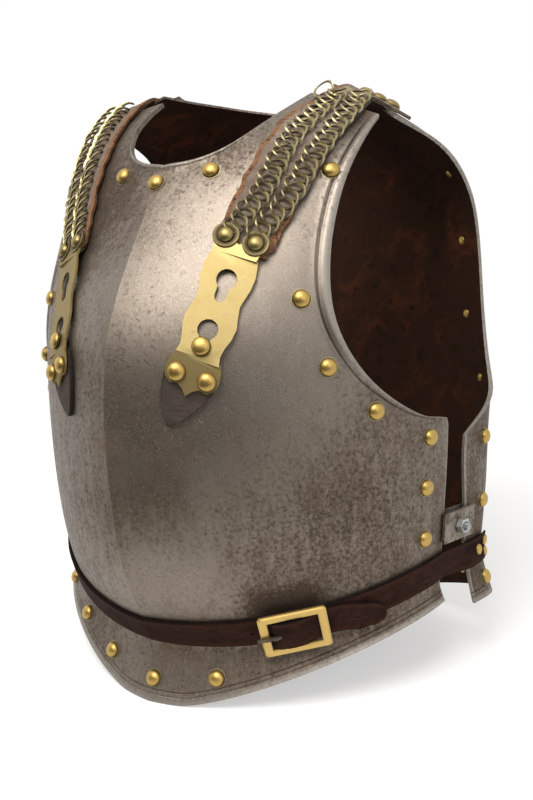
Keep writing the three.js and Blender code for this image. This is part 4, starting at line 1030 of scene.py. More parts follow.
class Workpiece:
    """A mesh in the making, in the plates' millimetres, that ends as one piece."""

    def __init__(self) -> None:
        """Starts an empty mesh."""
        self.bm = bmesh.new()

    def mark(self, name: str) -> object:
        """The layer of numbers under a name."""
        layers = self.bm.verts.layers.float
        return layers.get(name) or layers.new(name)

    def sheet(self, rows: Sequence[Sequence[Vector]], marks: dict[str, list],
              closed: bool = False) -> list[bmesh.types.BMVert]:
        """Lays a grid of faces over rows of points.

        Args:
            rows: the points, row by row.
            marks: numbers for each point, by name.
            closed: whether the last row meets the first.

        Returns:
            The new corners, row by row.
        """
        wide, tall = len(rows[0]), len(rows)
        layers = {name: self.mark(name) for name in marks}
        made = bmesh.ops.create_grid(self.bm, x_segments=wide - 1, y_segments=tall - 1, size=1.0)["verts"]
        for k, vert in enumerate(made):
            j, i = divmod(k, wide)
            vert.co = rows[j][i]
            for name, layer in layers.items():
                vert[layer] = marks[name][j][i]
        if closed:
            ends = [*made[:wide], *made[-wide:]]
            bmesh.ops.remove_doubles(self.bm, verts=ends, dist=1e-4)
        return made

    def shell(self, outer: Sequence[Sequence[Vector]], inner: Sequence[Sequence[Vector]],
              marks: dict[str, list]) -> None:
        """Lays a closed sheet between two grids of points, whose inner face takes the second material.

        Args:
            outer: the outer face's points, row by row.
            inner: the inner face's points.
            marks: numbers for each point, by name.
        """
        self.sheet(outer, marks)
        start = len(self.bm.faces)
        self.sheet(inner, marks)
        self.bm.faces.ensure_lookup_table()
        for face in self.bm.faces[start:]:
            face.material_index = 1
        bmesh.ops.reverse_faces(self.bm, faces=self.bm.faces[start:])
        bmesh.ops.bridge_loops(self.bm, edges=[edge for edge in self.bm.edges if edge.is_boundary])
        bmesh.ops.recalc_face_normals(self.bm, faces=self.bm.faces[:])

    def outward(self, core: Vector) -> None:
        """Turns every face so that most of them look away from a point."""
        self.bm.normal_update()
        total = sum(f.normal.dot(f.calc_center_median() - core) * f.calc_area() for f in self.bm.faces)
        if total < 0:
            bmesh.ops.reverse_faces(self.bm, faces=self.bm.faces[:])

    def stamp(self, die: bpy.types.Mesh, where: Matrix) -> None:
        """Adds a copy of a small mesh in a frame."""
        copy = die.copy()
        copy.transform(where)
        self.bm.from_mesh(copy)
        bpy.data.meshes.remove(copy)

    def on(self, side: Side) -> "Workpiece":
        """Moves the work from the wearer's left to another side."""
        if side is Side.RIGHT:
            flip = Matrix.Scale(-1, 4, Vector((1, 0, 0)))
            bmesh.ops.transform(self.bm, matrix=flip, verts=self.bm.verts[:])
            bmesh.ops.reverse_faces(self.bm, faces=self.bm.faces[:])
        return self

    def done(self, part: Part, materials: Iterable[bpy.types.Material], wall: float = 0.0,
             rounding: float = 0.0, sharp: float = 40.0) -> bpy.types.Object:
        """Ends the work as a piece.

        Args:
            part: what the piece is.
            materials: its materials.
            wall: the thickness that the sheet is given inwards, in millimetres.
            rounding: how far its edges are rounded, in millimetres.
            sharp: the angle beyond which an edge stays sharp.

        Returns:
            The piece's object.
        """
        for vert in self.bm.verts:
            vert.co = metres(vert.co)
        obj = linked(part.name, mesh_of(self.bm, part.name))
        smoothed(obj, sharp)
        if wall:
            solid = obj.modifiers.new("wall", "SOLIDIFY")
            solid.thickness, solid.offset = wall * MM, -1
        if rounding:
            rounded(obj, rounding * MM, 50)
        return part.settle(obj, materials)


def turned(profile: Sequence[Sequence[float]], steps: int = 24) -> bpy.types.Mesh:
    """A die turned from a profile round Z.

    Args:
        profile: radius, height, crown and collar of each point, from the top's middle downwards.
        steps: how many steps make the round.

    Returns:
        The mesh, in millimetres.
    """
    bm = bmesh.new()
    crown, collar = bm.verts.layers.float.new("crown"), bm.verts.layers.float.new("collar")
    verts = []
    for radius, height, high, pale in profile:
        vert = bm.verts.new((radius, 0, height))
        vert[crown], vert[collar] = high, pale
        verts.append(vert)
    edges = [bm.edges.new(pair) for pair in zip(verts, verts[1:])]
    swept(bm, verts + edges, steps)
    return mesh_of(bm, "die")


def swept(bm: bmesh.types.BMesh, geometry: Sequence[object], steps: int) -> None:
    """Carries a profile all the way round Z and closes the mesh."""
    bmesh.ops.spin(bm, geom=geometry, cent=(0, 0, 0), axis=(0, 0, 1), angle=math.tau, steps=steps,
                   use_merge=True)
    bmesh.ops.remove_doubles(bm, verts=bm.verts[:], dist=1e-4)
    bmesh.ops.recalc_face_normals(bm, faces=bm.faces[:])


def dome(radius: float, rise: float, base: float = 0.0, full: float = 0.85, rub: float = 0.6) -> Table:
    """The profile of a dome from its top to its brim.

    Args:
        radius: its radius.
        rise: its height over the brim.
        base: the height of the brim.
        full: how full it is; less is fuller.
        rub: how far down the crown mark reaches, which the brass turns into rubbing and painted highlight;
            less is farther.

    Returns:
        Points as a turned die takes them.
    """
    profile = []
    for share in shares(DOME_STEPS):
        out, up = math.sin(QUARTER * share), math.cos(QUARTER * share)
        profile.append((radius * out, base + rise * up ** full, up ** rub, 0.0))
    return profile


def domed(radius: float, rise: float, sink: float = 1.2, collar: float = 0.0,
          steps: int = 24) -> bpy.types.Mesh:
    """A die of a domed head, with a thin pale ring round its foot where one is asked for."""
    profile = dome(radius, rise)
    if collar:
        profile += [(radius + 0.15, 0.3, 0.4, 1.0), (radius + collar, 0.24, 0.6, 1.0)]
    profile.append((radius + collar, -sink, 0.0, 0.0))
    return turned(profile, steps)


def refined_copy(part: Part, rounding: float, material: bpy.types.Material,
                 crown: float = 0.7) -> bpy.types.Object:
    """A copy of a CAD node with merged corners and rounded edges, which stands for the node.

    Args:
        part: what the piece is; its first node is the one that is copied.
        rounding: the radius of the edges, in metres.
        material: its finish.
        crown: how far its faces count as standing out.

    Returns:
        The piece's object.
    """
    bm = bmesh.new()
    bm.from_mesh(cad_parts[part.nodes[0]].data)
    bmesh.ops.remove_doubles(bm, verts=bm.verts[:], dist=1e-6)
    bmesh.ops.dissolve_limit(bm, angle_limit=math.radians(1.5), verts=bm.verts[:], edges=bm.edges[:])
    bmesh.ops.recalc_face_normals(bm, faces=bm.faces[:])
    layer = bm.verts.layers.float.new("crown")
    for vert in bm.verts:
        vert[layer] = crown
    obj = linked(part.name, mesh_of(bm, part.name))
    smoothed(obj, CAST_ANGLE)
    rounded(obj, rounding, CAST_ANGLE)
    return part.settle(obj, [material])


@dataclass(frozen=True)
class Spot:
    """A soft round mark on the steel: where it is, how far it reaches and how strong it is."""

    x: float
    y: float
    z: float
    reach: float
    depth: float

    def at(self, point: Vector) -> float:
        """How strong the mark is at a point."""
        away = (point - Vector((self.x, self.y, self.z))).length
        return self.depth * math.exp(-(away / self.reach) ** 2)


# Where the breastplate is darkened in soft spots; a depth below nothing brightens it instead, and the
# brightened spots on the upper chest and on the belly's right are painted highlight
STAINS_AND_HIGHLIGHTS = (
    Spot(86, -128, 73, 13, 2.6), Spot(104, -111, 80, 10, 1.6), Spot(35, -160, 92, 40, -0.9),
    Spot(98, -122, 222, 40, -0.5), Spot(128, -90, 130, 50, 0.5), Spot(45, -90, 372, 34, 0.6),
    Spot(-40, -110, 345, 45, 0.9), Spot(10, -170, 235, 34, 0.5), Spot(0, -150, 20, 40, -0.3),
    Spot(60, -120, 300, 85, -1.1),
)
RUST = (
    Spot(50, -165, 203, 22, 0.9), Spot(2, -172, 188, 16, 1.0), Spot(84, -112, 296, 14, 0.6),
    Spot(-20, -165, 225, 18, 0.7), Spot(20, -150, 35, 60, 0.5), Spot(-70, -95, 330, 30, 0.5),
)
# How dark the backplate is all over, and the distances that a mark holds where there is no such edge
BACK_STAIN = 0.25
NO_RIM, NO_RIDGE = 200.0, 9.0
# Between which heights the breastplate's ridge is rubbed, and between which it is sharp
RUBBED_RIDGE, SHARP_RIDGE = (60, 340), (52, 346)


@dataclass
class PlatePiece:
    """One steel plate with its wall, its turned edges and its rivets."""

    shape: PlateShape
    node: str
    palette: Palette
    columns: int = 38
    rows: int = 62
    flange_rows: int = 12
    rivet_radius: float = 5.9
    rivet_rise: float = 4.6
    flange_inset: float = 14

    def build(self) -> None:
        """Makes the plate, then its rivets."""
        self.plate()
        self.rivets()

    def stain(self, point: Vector) -> float:
        """How dark the steel is at a point, from the soft spots that darken it and those that brighten it as
        painted highlight.
        """
        return BACK_STAIN if self.shape.facing > 0 else sum(spot.at(point) for spot in STAINS_AND_HIGHLIGHTS)

    def wear(self, place: GridPlace, fold: Vector, foot: Vector) -> dict[str, float]:
        """The marks of one place, which tell the steel how far it is from each edge, how worn it is and where
        highlight is painted on it.

        Args:
            place: the place, as the grid gives it.
            fold: the bare point of the waist's fold above or below it.
            foot: the bare point of the flange's edge below it.

        Returns:
            A number for each mark.
        """
        bare, down, arm, arm_fade = place.bare, place.down, place.arm, place.arm_fade
        rim = (1 - down) * (fold - foot).length if down else NO_RIM
        arm_bead = clamp(1 - abs(arm - 2.4) / 2.2) * arm_fade
        neck_bead = clamp(1 - abs(place.neck - 1.6) / 2) * place.neck_fade
        side = (1 - arm_fade) * (1 - down)
        keeled = self.shape.facing < 0 and RUBBED_RIDGE[0] < bare.z < RUBBED_RIDGE[1]
        return {
            "arm_mm": arm,
            "rim_mm": rim,
            # Paler on the beads, the flange's rim and the arm's edge: partly wear and partly painted
            # highlight
            "rub": max(0.5 * arm_bead, 0.7 * neck_bead, clamp(1.5 - rim / 3), 0.8 * clamp(1.3 - arm / 2)),
            "lined": 1.0 if down > 0.02 else 0.0,
            "beaded": arm_fade,
            "stain": self.stain(bare),
            "ridge_mm": abs(bare.x) if keeled else NO_RIDGE,
            "rust": sum(spot.at(bare) for spot in RUST) + 0.9 * side * math.exp(-((arm - 8) / 5) ** 2),
        }

    def normal(self, rows: Sequence[Sequence[GridPlace]], i: int, j: int) -> Vector:
        """The outward normal at a place of the whole grid, which is level along the foot."""
        row = rows[j]
        across = row[min(i + 1, len(row) - 1)].bare - row[max(i - 1, 0)].bare
        along = rows[min(j + 1, len(rows) - 1)][i].bare - rows[max(j - 1, 0)][i].bare
        normal = across.cross(along).normalized()
        if self.shape.facing > 0:
            normal.negate()
        return normal if j else Vector((normal.x, normal.y, 0)).normalized()

    def plate(self) -> bpy.types.Object:
        """Makes the plate's sheet."""
        half = PlateGrid(self.shape, self.columns, self.rows, self.flange_rows).places()
        rows = [[replace(p, bare=mirrored(p.bare)) for p in reversed(row[1:])] + row for row in half]
        points, inner, wear = [], [], []
        for j, row in enumerate(rows):
            places, backs, worn = [], [], []
            for i, place in enumerate(row):
                normal = self.normal(rows, i, j)
                places.append(place.bare + normal * place.lift)
                backs.append(place.bare - normal * self.shape.wall)
                worn.append(self.wear(place, rows[self.flange_rows][i].bare, rows[0][i].bare))
            points.append(places)
            inner.append(backs)
            wear.append(worn)
        marks = {name: [[worn[name] for worn in row] for row in wear] for name in wear[0][0]}
        work = Workpiece()
        work.shell(points, inner, marks)
        low, high = SHARP_RIDGE
        for edge in work.bm.edges:
            if self.shape.facing < 0 and all(abs(v.co.x) < 1e-3 and low < v.co.z < high for v in edge.verts):
                edge.smooth = False
        part = Part(f"{self.node}_steel", Body.SHELL, Slot.STEEL, (self.node,))
        materials = [self.palette.plate, self.palette.lining]
        return work.done(part, materials, rounding=0.5, sharp=50)

    def seats(self) -> list[tuple[Vector, Vector]]:
        """The seats of the rivets on both halves, each a point and its outward normal."""
        shape, found = self.shape, []
        for s, t in shape.rivets:
            found.append((shape.surface(s, t), shape.normal(s, t), False))
        for s in [*shape.flange_rivets, *shape.right_flange_rivets]:
            q = shape.to_q(s, shape.waist(s))
            down = 1 - min(self.flange_inset / (shape.crease(q).z - shape.rim_height(q)), 0.5)
            normal = shape.normal_of(shape.flange, clamp(q, SHY, 1 - SHY), down)
            found.append((shape.flange(q, down), normal, s in shape.right_flange_rivets))
        seats = []
        for point, normal, right_only in found:
            if point.x > self.rivet_radius:
                if not right_only:
                    seats.append((point, normal))
                seats.append((mirrored(point), mirrored(normal)))
            else:
                seats.append((Vector((0, point.y, point.z)), Vector((0, normal.y, normal.z))))
        return seats

    def rivets(self) -> bpy.types.Object:
        """Makes the domed heads outside and the flattened tails inside."""
        head = domed(self.rivet_radius, self.rivet_rise, collar=0.6)
        tail = domed(3.4, 1.1, 0.8, steps=12)
        work = Workpiece()
        for point, normal in self.seats():
            work.stamp(head, frame_at(point, normal, UP))
            work.stamp(tail, frame_at(point - normal * self.shape.wall, -normal, UP))
        return work.done(Part(f"{self.node}_rivets", Body.SHELL, Slot.BRASS), [self.palette.rivet])


class StrapCourse:
    """The course of a shoulder strap from its end plate to the shoulder."""

    ROUTE = [[0.4375, 0.7175], [0.455, 0.75], [0.49, 0.8], [0.525, 0.85], [0.565, 0.9], [0.6, 0.94],
             [0.612, 0.972]]
    HALF_WIDTH = 22.5
    OFFSET, DRIFT = -3, 12.5

    def __init__(self) -> None:
        """Sets the strap's stations on the two plates."""
        self.stations = [(BREAST, place) for place in smooth_places(self.ROUTE, 11)]
        self.stations += [(BACK, place) for place in ((0.612, 1), (0.607, 0.985))]
        self.centres = [shape.surface(*place) for shape, place in self.stations]
        self.drift = Curve([[0, 0], [0.25, 0.26], [0.5, 0.42], [0.7, 0.74], [0.85, 1], [1, 0.85]])
        self.width = Curve([[0, 0.82], [0.2, 0.93], [0.5, 1], [0.7, 0.96], [0.85, 0.86], [1, 0.84]])

    def line(self, share: float, lift: float) -> tuple[Route, list[Vector]]:
        """A smooth line along the strap at a share of its half width.

        Args:
            share: where the line runs, from the inner border (-1) to the outer one (1).
            lift: its height above the plates.

        Returns:
            The line and the outward normals at its stations.
        """
        points, normals = [], []
        last = len(self.centres) - 1
        for i, (shape, place) in enumerate(self.stations):
            along = self.centres[min(i + 1, last)] - self.centres[max(i - 1, 0)]
            part = i / last
            lateral = self.OFFSET + self.DRIFT * self.drift(part) + share * self.HALF_WIDTH * self.width(part)
            point, normal = beside(shape, place, along, lateral, lift)
            points.append(point)
            normals.append(normal)
        return Route(points), normals

    @staticmethod
    def normal(normals: Sequence[Vector], share: float) -> Vector:
        """The normal at a share of the stations."""
        place = clamp(share) * (len(normals) - 1)
        i = min(int(place), len(normals) - 2)
        return normals[i].lerp(normals[i + 1], place - i).normalized()


@dataclass
class EndPlateFrame:
    """The frame of a strap's end plate: X across the strap, Y up it, Z away from the breastplate."""

    PLACE, LOWER_PLACE = (0.382, 0.638), (0.325, 0.545)

    centre: Vector = field(init=False)
    matrix: Matrix = field(init=False)
    ride: float = 1.4
    thickness: float = 1.5
    upper: float = 38.0
    lower: float = 33.5

    def __post_init__(self) -> None:
        """Finds the frame on the breastplate."""
        self.centre = BREAST.surface(*self.PLACE)
        normal = BREAST.normal(*self.PLACE)
        up = self.centre - BREAST.surface(*self.LOWER_PLACE)
        self.matrix = frame_at(self.centre + normal * self.ride, normal, up)
        self.x, self.y, self.z = (self.matrix.col[k].xyz for k in range(3))

    def under(self, x: float, y: float) -> tuple[Vector, Vector]:
        """The breastplate's point square under a point of the frame, and its normal."""
        s, t = self.PLACE
        for _ in range(9):
            here = BREAST.surface(s, t) - self.centre
            ds = (BREAST.surface(s + NUDGE, t) - self.centre - here) / NUDGE
            dt = (BREAST.surface(s, t + NUDGE) - self.centre - here) / NUDGE
            ex, ey = x - here.dot(self.x), y - here.dot(self.y)
            a, b, c, d = ds.dot(self.x), dt.dot(self.x), ds.dot(self.y), dt.dot(self.y)
            det = a * d - b * c
            s, t = s + (ex * d - ey * b) / det, t + (ey * a - ex * c) / det
        return BREAST.surface(s, t), BREAST.normal(s, t)


# How far inside its border the leather has its second line, as a share; a tear reaches no farther
INNER_LINE = 0.2


@dataclass
class ShoulderStrap:
    """A shoulder strap: leather, two rows of chain, the hook plate with its tip, and the rear fastening."""

    side: Side
    course: StrapCourse
    hook: EndPlateFrame
    palette: Palette
    thickness: float = 2.5
    cloth_gap: float = 0.9
    ring_radius: float = 6.9
    wire: float = 0.9
    twist: float = 0.5
    pitch: float = 6.7
    chain_start: float = 14.5
    chain_end: float = 0.85
    loose_ring: float = 0.79
    row_half_gap: float = 8.25
    row_shift: float = 4.0
    lug_offset: float = -1
    lug_rivet_spacing: float = 12.5
    stud_place: float = -24.7

    def build(self) -> None:
        """Makes the strap's pieces from its leather outwards."""
        self.leather()
        self.chain("inner", self.row_shift - self.row_half_gap)
        self.chain("outer", self.row_shift + self.row_half_gap)
        self.end_plate()
        self.leaf()
        self.lug()
        self.rear_rivets()
        self.stud()

    def finish(self, work: Workpiece, name: str, body: Body, slot: Slot, node: str,
               material: bpy.types.Material, **options: float) -> bpy.types.Object:
        """Ends a piece of this side.

        Args:
            work: the piece in the making, on the wearer's left.
            name: its name, without the side.
            body: the body that it rides on.
            slot: its slot.
            node: the CAD node that it stands for, without the side, or nothing.
            material: its finish.
            options: its wall, rounding and sharp angle, where it has them.

        Returns:
            The piece's object.
        """
        word = self.side.word
        part = Part(f"{word}_{name}", body, slot, (f"{word}_{node}",) if node else ())
        return work.on(self.side).done(part, [material], **options)

    @property
    def leather_lift(self) -> float:
        """The height of the leather's face above the plates."""
        return self.cloth_gap + self.thickness

    def torn(self, share: float, part: float) -> tuple[float, float, float]:
        """How the leather is torn at a place.

        Args:
            share: where it is across the strap, from the inner border (-1) to the outer one (1).
            part: how far up the strap it is.

        Returns:
            How far the border is drawn in there, how far it is raised, and how much of it is bare.
        """
        ragged = noise.noise(Vector((part * 17, share * 0.6, 3.1 + self.side.value)))
        ripple = noise.noise(Vector((part * 44, 5.5, self.side.value)))
        curl = noise.noise(Vector((part * 24, 7, share * 5)))
        calm = ease(part, 1.0, 0.85)
        drawn_in = 0.09 * calm * (ragged + 0.6 * ripple + 0.5) * ease(abs(share), 0.7, 1.0)
        raised = calm * math.exp(-((share + 0.88) / 0.1) ** 2) * (0.9 + 0.6 * curl)
        loose = 1.5 - (share + 1) * 5.4
        if share > 0:
            drawn_in += 0.12 * ease(part, 0.1, 0.2) * abs(part - 0.5) * 2
            loose = (share - 0.62) * 4 * ease(part, 0.3, 0.16)
        return clamp(drawn_in, 0, INNER_LINE), raised, clamp(loose + 0.4 * ragged)

    def leather(self) -> bpy.types.Object:
        """Makes the strap's leather with its torn, raised inner border."""
        across = (-1.0, -0.96, -0.9, -0.83, -0.76, -0.68, -0.5, -0.25, 0, 0.25, 0.5, 0.72, 0.86, 0.95, 1.0)
        points, marks = [], {"border": [], "cut": []}
        for share in across:
            line, normals = self.course.line(share, self.leather_lift)
            inner, _ = self.course.line(share * (1 - INNER_LINE), self.leather_lift)
            placed, border = [], []
            for part in shares(72):
                drawn_in, raised, bare = self.torn(share, part)
                point = line.at(part).lerp(inner.at(part), drawn_in / INNER_LINE)
                placed.append(point + StrapCourse.normal(normals, part) * raised)
                border.append(bare)
            points.append(placed)
            marks["border"].append(border)
            marks["cut"].append([1.0 if abs(share) == 1 else 0.0] * len(placed))
        work = Workpiece()
        work.sheet(points, marks)
        work.outward(Vector((0, 0, 250)))
        return self.finish(work, "strap_hide", self.side.strap, Slot.STRAP, "strap_leather",
                           self.palette.strap, wall=self.thickness, rounding=0.4)

    def link(self) -> bpy.types.Mesh:
        """The die of one ring of wire, marked by its height above the strap, which the brass turns into
        painted shade low down and painted highlight on top.
        """
        bm = bmesh.new()
        made = bmesh.ops.create_circle(bm, segments=4, radius=self.wire, cap_ends=False)["verts"]
        turn = Matrix.Translation((self.ring_radius, 0, 0)) @ Matrix.Rotation(QUARTER, 4, "X")
        bmesh.ops.transform(bm, matrix=turn, verts=made)
        swept(bm, bm.verts[:] + bm.edges[:], 16)
        crown = bm.verts.layers.float.new("crown")
        for vert in bm.verts:
            vert.co.z += self.twist * vert.co.x * vert.co.y / self.ring_radius
            # The crown mark rises with height above the strap: painted shade under the ring, painted
            # highlight on its top
            vert[crown] = clamp(0.5 + vert.co.z / (0.7 * self.ring_radius))
        return mesh_of(bm, "link")

    def chain(self, row: str, middle: float) -> bpy.types.Object:
        """Makes a row of chain from round rings, each twisted so that it lies over one neighbour's side.

        Args:
            row: the row's word in the node's name.
            middle: the row's distance from the strap's middle, in millimetres.

        Returns:
            The row's object.
        """
        die, work = self.link(), Workpiece()
        lift = self.leather_lift + self.wire + 0.3 * self.ring_radius
        line, normals = self.course.line(middle / StrapCourse.HALF_WIDTH, lift)
        steps = 240
        places = [line.at(share) for share in shares(steps)]
        reach = [0.0]
        for a, b in zip(places, places[1:]):
            reach.append(reach[-1] + (b - a).length)
        want, end, k = self.chain_start, reach[int(self.chain_end * steps)], 0
        while want < end:
            i = next(n for n, far in enumerate(reach) if far >= want)
            share = (i - 1 + (want - reach[i - 1]) / (reach[i] - reach[i - 1])) / steps
            along = line.at(min(share + 0.01, 1)) - line.at(max(share - 0.01, 0))
            normal = StrapCourse.normal(normals, share)
            seed = Vector((k * 0.73, 3.1 + middle, self.side.value * 1.7))
            tilts = [noise.noise(seed + Vector((9 * n, 0, 0))) for n in range(4)]
            bulge = 3.0 * math.exp(-((share - 0.55) / 0.24) ** 2) if middle > self.row_shift else 0.0
            sway = (0.7 if k % 2 else -0.7) - 5.0 * ease(want, 46, 14) + bulge
            seat = frame_at(line.at(share), normal, along) @ Matrix.Translation((sway, 0, 0))
            for axis, lean in (("X", -9 + 8 * tilts[0]), ("Y", 9 * tilts[1]), ("Z", 12 * tilts[2])):
                seat = seat @ Matrix.Rotation(math.radians(lean), 4, axis)
            work.stamp(die, seat)
            want += self.pitch * (1 + 0.12 * tilts[3])
            k += 1
        if middle < self.row_shift and self.side is Side.LEFT:
            share = self.loose_ring
            along = line.at(share + 0.03) - line.at(share - 0.03)
            loose = frame_at(line.at(share), StrapCourse.normal(normals, share), along)
            tipped = Matrix.Translation((-8, 0, 2.4)) @ Matrix.Rotation(math.radians(42), 4, "X")
            work.stamp(die, loose @ tipped)
        return self.finish(work, f"{row}_links", self.side.strap, Slot.CHAIN, f"{row}_chain",
                           self.palette.chain, sharp=80)

    def tab_seats(self) -> list[Matrix]:
        """The seats of the four rivets on the end plate's upper and lower tabs."""
        seats = []
        hook, upper_ride = self.hook, 2 * self.cloth_gap + self.thickness
        for facing, length, ride in ((1, hook.upper + 8.5, upper_ride), (-1, hook.lower + 9.5, 3.6)):
            point, normal = hook.under(0, facing * length)
            seat = frame_at(point + normal * ride, normal, hook.y * facing)
            seats += [seat @ Matrix.Translation((x, 0, hook.thickness)) for x in (-10, 10)]
        return seats

    def end_plate(self) -> None:
        """Makes the hook plate with its keyholes, and the smooth heads of its rivets."""
        word = self.side.word
        part = Part(f"{word}_hook_plate_brass", self.side.hook, Slot.BRASS, (f"{word}_end_plate",))
        brass = self.palette.sheet_brass if self.side is Side.LEFT else self.palette.old_sheet_brass
        refined_copy(part, 0.00025, brass, 0.62)
        upper, lower = domed(5.3, 4.1, 0.4), domed(6.1, 4.4, 0.4)
        washer = turned([(5.0, 0.2, 0.0, 0), (5.6, 0.75, 0.15, 0.05), (7.2, 0.85, 0.3, 0.1),
                         (8.1, 1.15, 0.55, 0.1), (8.6, 0.9, 0.5, 0.1), (8.6, -0.8, 0.0, 0.0)])
        seats = self.tab_seats()
        for which, dies, chosen, finish in (
                ("rosettes", (upper, washer), seats[:2], self.palette.dull_rivet),
                ("rivets", (lower,), seats[2:], self.palette.rivet)):
            work = Workpiece()
            for seat in chosen:
                for die in dies:
                    work.stamp(die, seat)
            self.finish(work, f"hook_plate_{which}", self.side.hook, Slot.BRASS, "", finish)

    def leaf(self) -> bpy.types.Object:
        """Makes the pointed leather leaf under the end plate."""
        outline = ((0, 0.86), (0.18, 0.98), (0.36, 0.95), (0.54, 0.82), (0.72, 0.6), (0.88, 0.34), (1, 0.05))
        across = [-1, -0.92, -0.6, -0.2, 0.2, 0.6, 0.92, 1]
        half_width, length, lean, face, steps = 17, 42, 5, 3.0, 24
        rows, cut = [], []
        for i, (part, wide) in enumerate(smooth_places(outline, steps)):
            row = []
            for share in across:
                nick = 1 + 0.05 * noise.noise(Vector((i * 0.9, share * 2, self.side.value)))
                sideways = half_width * wide * share * nick - lean * part ** 1.6
                point, normal = self.hook.under(sideways, -(self.hook.lower + length * part))
                row.append(point + normal * face)
            rows.append(row)
            cut.append([1.0 if abs(share) > 0.95 or i == steps else 0.0 for share in across])
        work = Workpiece()
        work.sheet(rows, {"cut": cut})
        work.outward(Vector((0, 0, 212)))
        return self.finish(work, "tip_hide", self.side.hook, Slot.LEAF, "strap_tip",
                           self.palette.leaf, wall=2.5, rounding=0.5)

    def lug_line(self, lateral: float, lift: float) -> tuple[Route, list[Vector]]:
        """A line down the leather that is riveted to the backplate's shoulder."""
        places = ((0.603, 0.98), (0.6, 0.958), (0.596, 0.935))
        centres = [BACK.surface(*place) for place in places]
        points, normals = [], []
        for i, place in enumerate(places):
            along = centres[min(i + 1, 2)] - centres[max(i - 1, 0)]
            point, normal = beside(BACK, place, along, lateral + self.lug_offset, lift)
            points.append(point)
            normals.append(normal)
        return Route(points), normals

    def lug(self) -> bpy.types.Object:
        """Makes the leather under the rear rivets, with its jagged end."""
        rows, marks = [], {"border": [], "cut": []}
        for share in (-1 + k / 12 for k in range(25)):
            line, _ = self.lug_line(share * StrapCourse.HALF_WIDTH, self.leather_lift)
            jag = 0.94 + 0.06 * noise.noise(Vector((share * 9, 2.2, self.side.value)))
            rows.append([line.at(part) for part in (0, 0.15, 0.35, 0.55, 0.75, 0.9, jag)])
            marks["border"].append([0, 0, 0, 0, 0.1, 0.5, 0.9])
            marks["cut"].append([1.0, 0, 0, 0, 0, 0, 1.0])
        work = Workpiece()
        work.sheet(rows, marks)
        work.outward(Vector((0, 0, 300)))
        return self.finish(work, "lug_hide", Body.SHELL, Slot.STRAP, "rear_lug",
                           self.palette.strap, wall=self.thickness, rounding=0.4)

    def rear_rivets(self) -> None:
        """Makes the three rivets that hold the strap's leather to the backplate."""
        head = domed(6.0, 4.2, 3.6, collar=0.5)
        for number, step in enumerate((-1, 0, 1), 1):
            line, normals = self.lug_line(step * self.lug_rivet_spacing, self.leather_lift + 0.3)
            work = Workpiece()
            work.stamp(head, frame_at(line.at(0.5), normals[1], UP))
            node = f"rear_rivet_{number}"
            self.finish(work, f"{node}_dome", Body.SHELL, Slot.BRASS, node, self.palette.dull_rivet)

    def stud(self) -> bpy.types.Object:
        """Makes the stud that the hook plate hangs on."""
        hook = self.hook
        point, _ = hook.under(0, self.stud_place)
        under = (hook.centre + hook.z * (hook.ride + hook.thickness) - point).dot(hook.z) + 0.6
        profile = dome(5.95, 2.9, under + 1.1, full=1.0, rub=0.5)
        profile += [(5.95, under + 0.35, 0.2, 0), (5.6, under, 0, 0), (3.1, under, 0, 0), (3.1, -4.2, 0, 0),
                    (4.2, -4.2, 0, 0), (4.2, -5.2, 0, 0), (3.6, -5.4, 0, 0), (0, -5.4, 0, 0)]
        work = Workpiece()
        work.stamp(turned(profile), frame_at(point, hook.z, hook.y))
        return self.finish(work, "stud_turned", Body.SHELL, Slot.BRASS, "stud", self.palette.rivet)


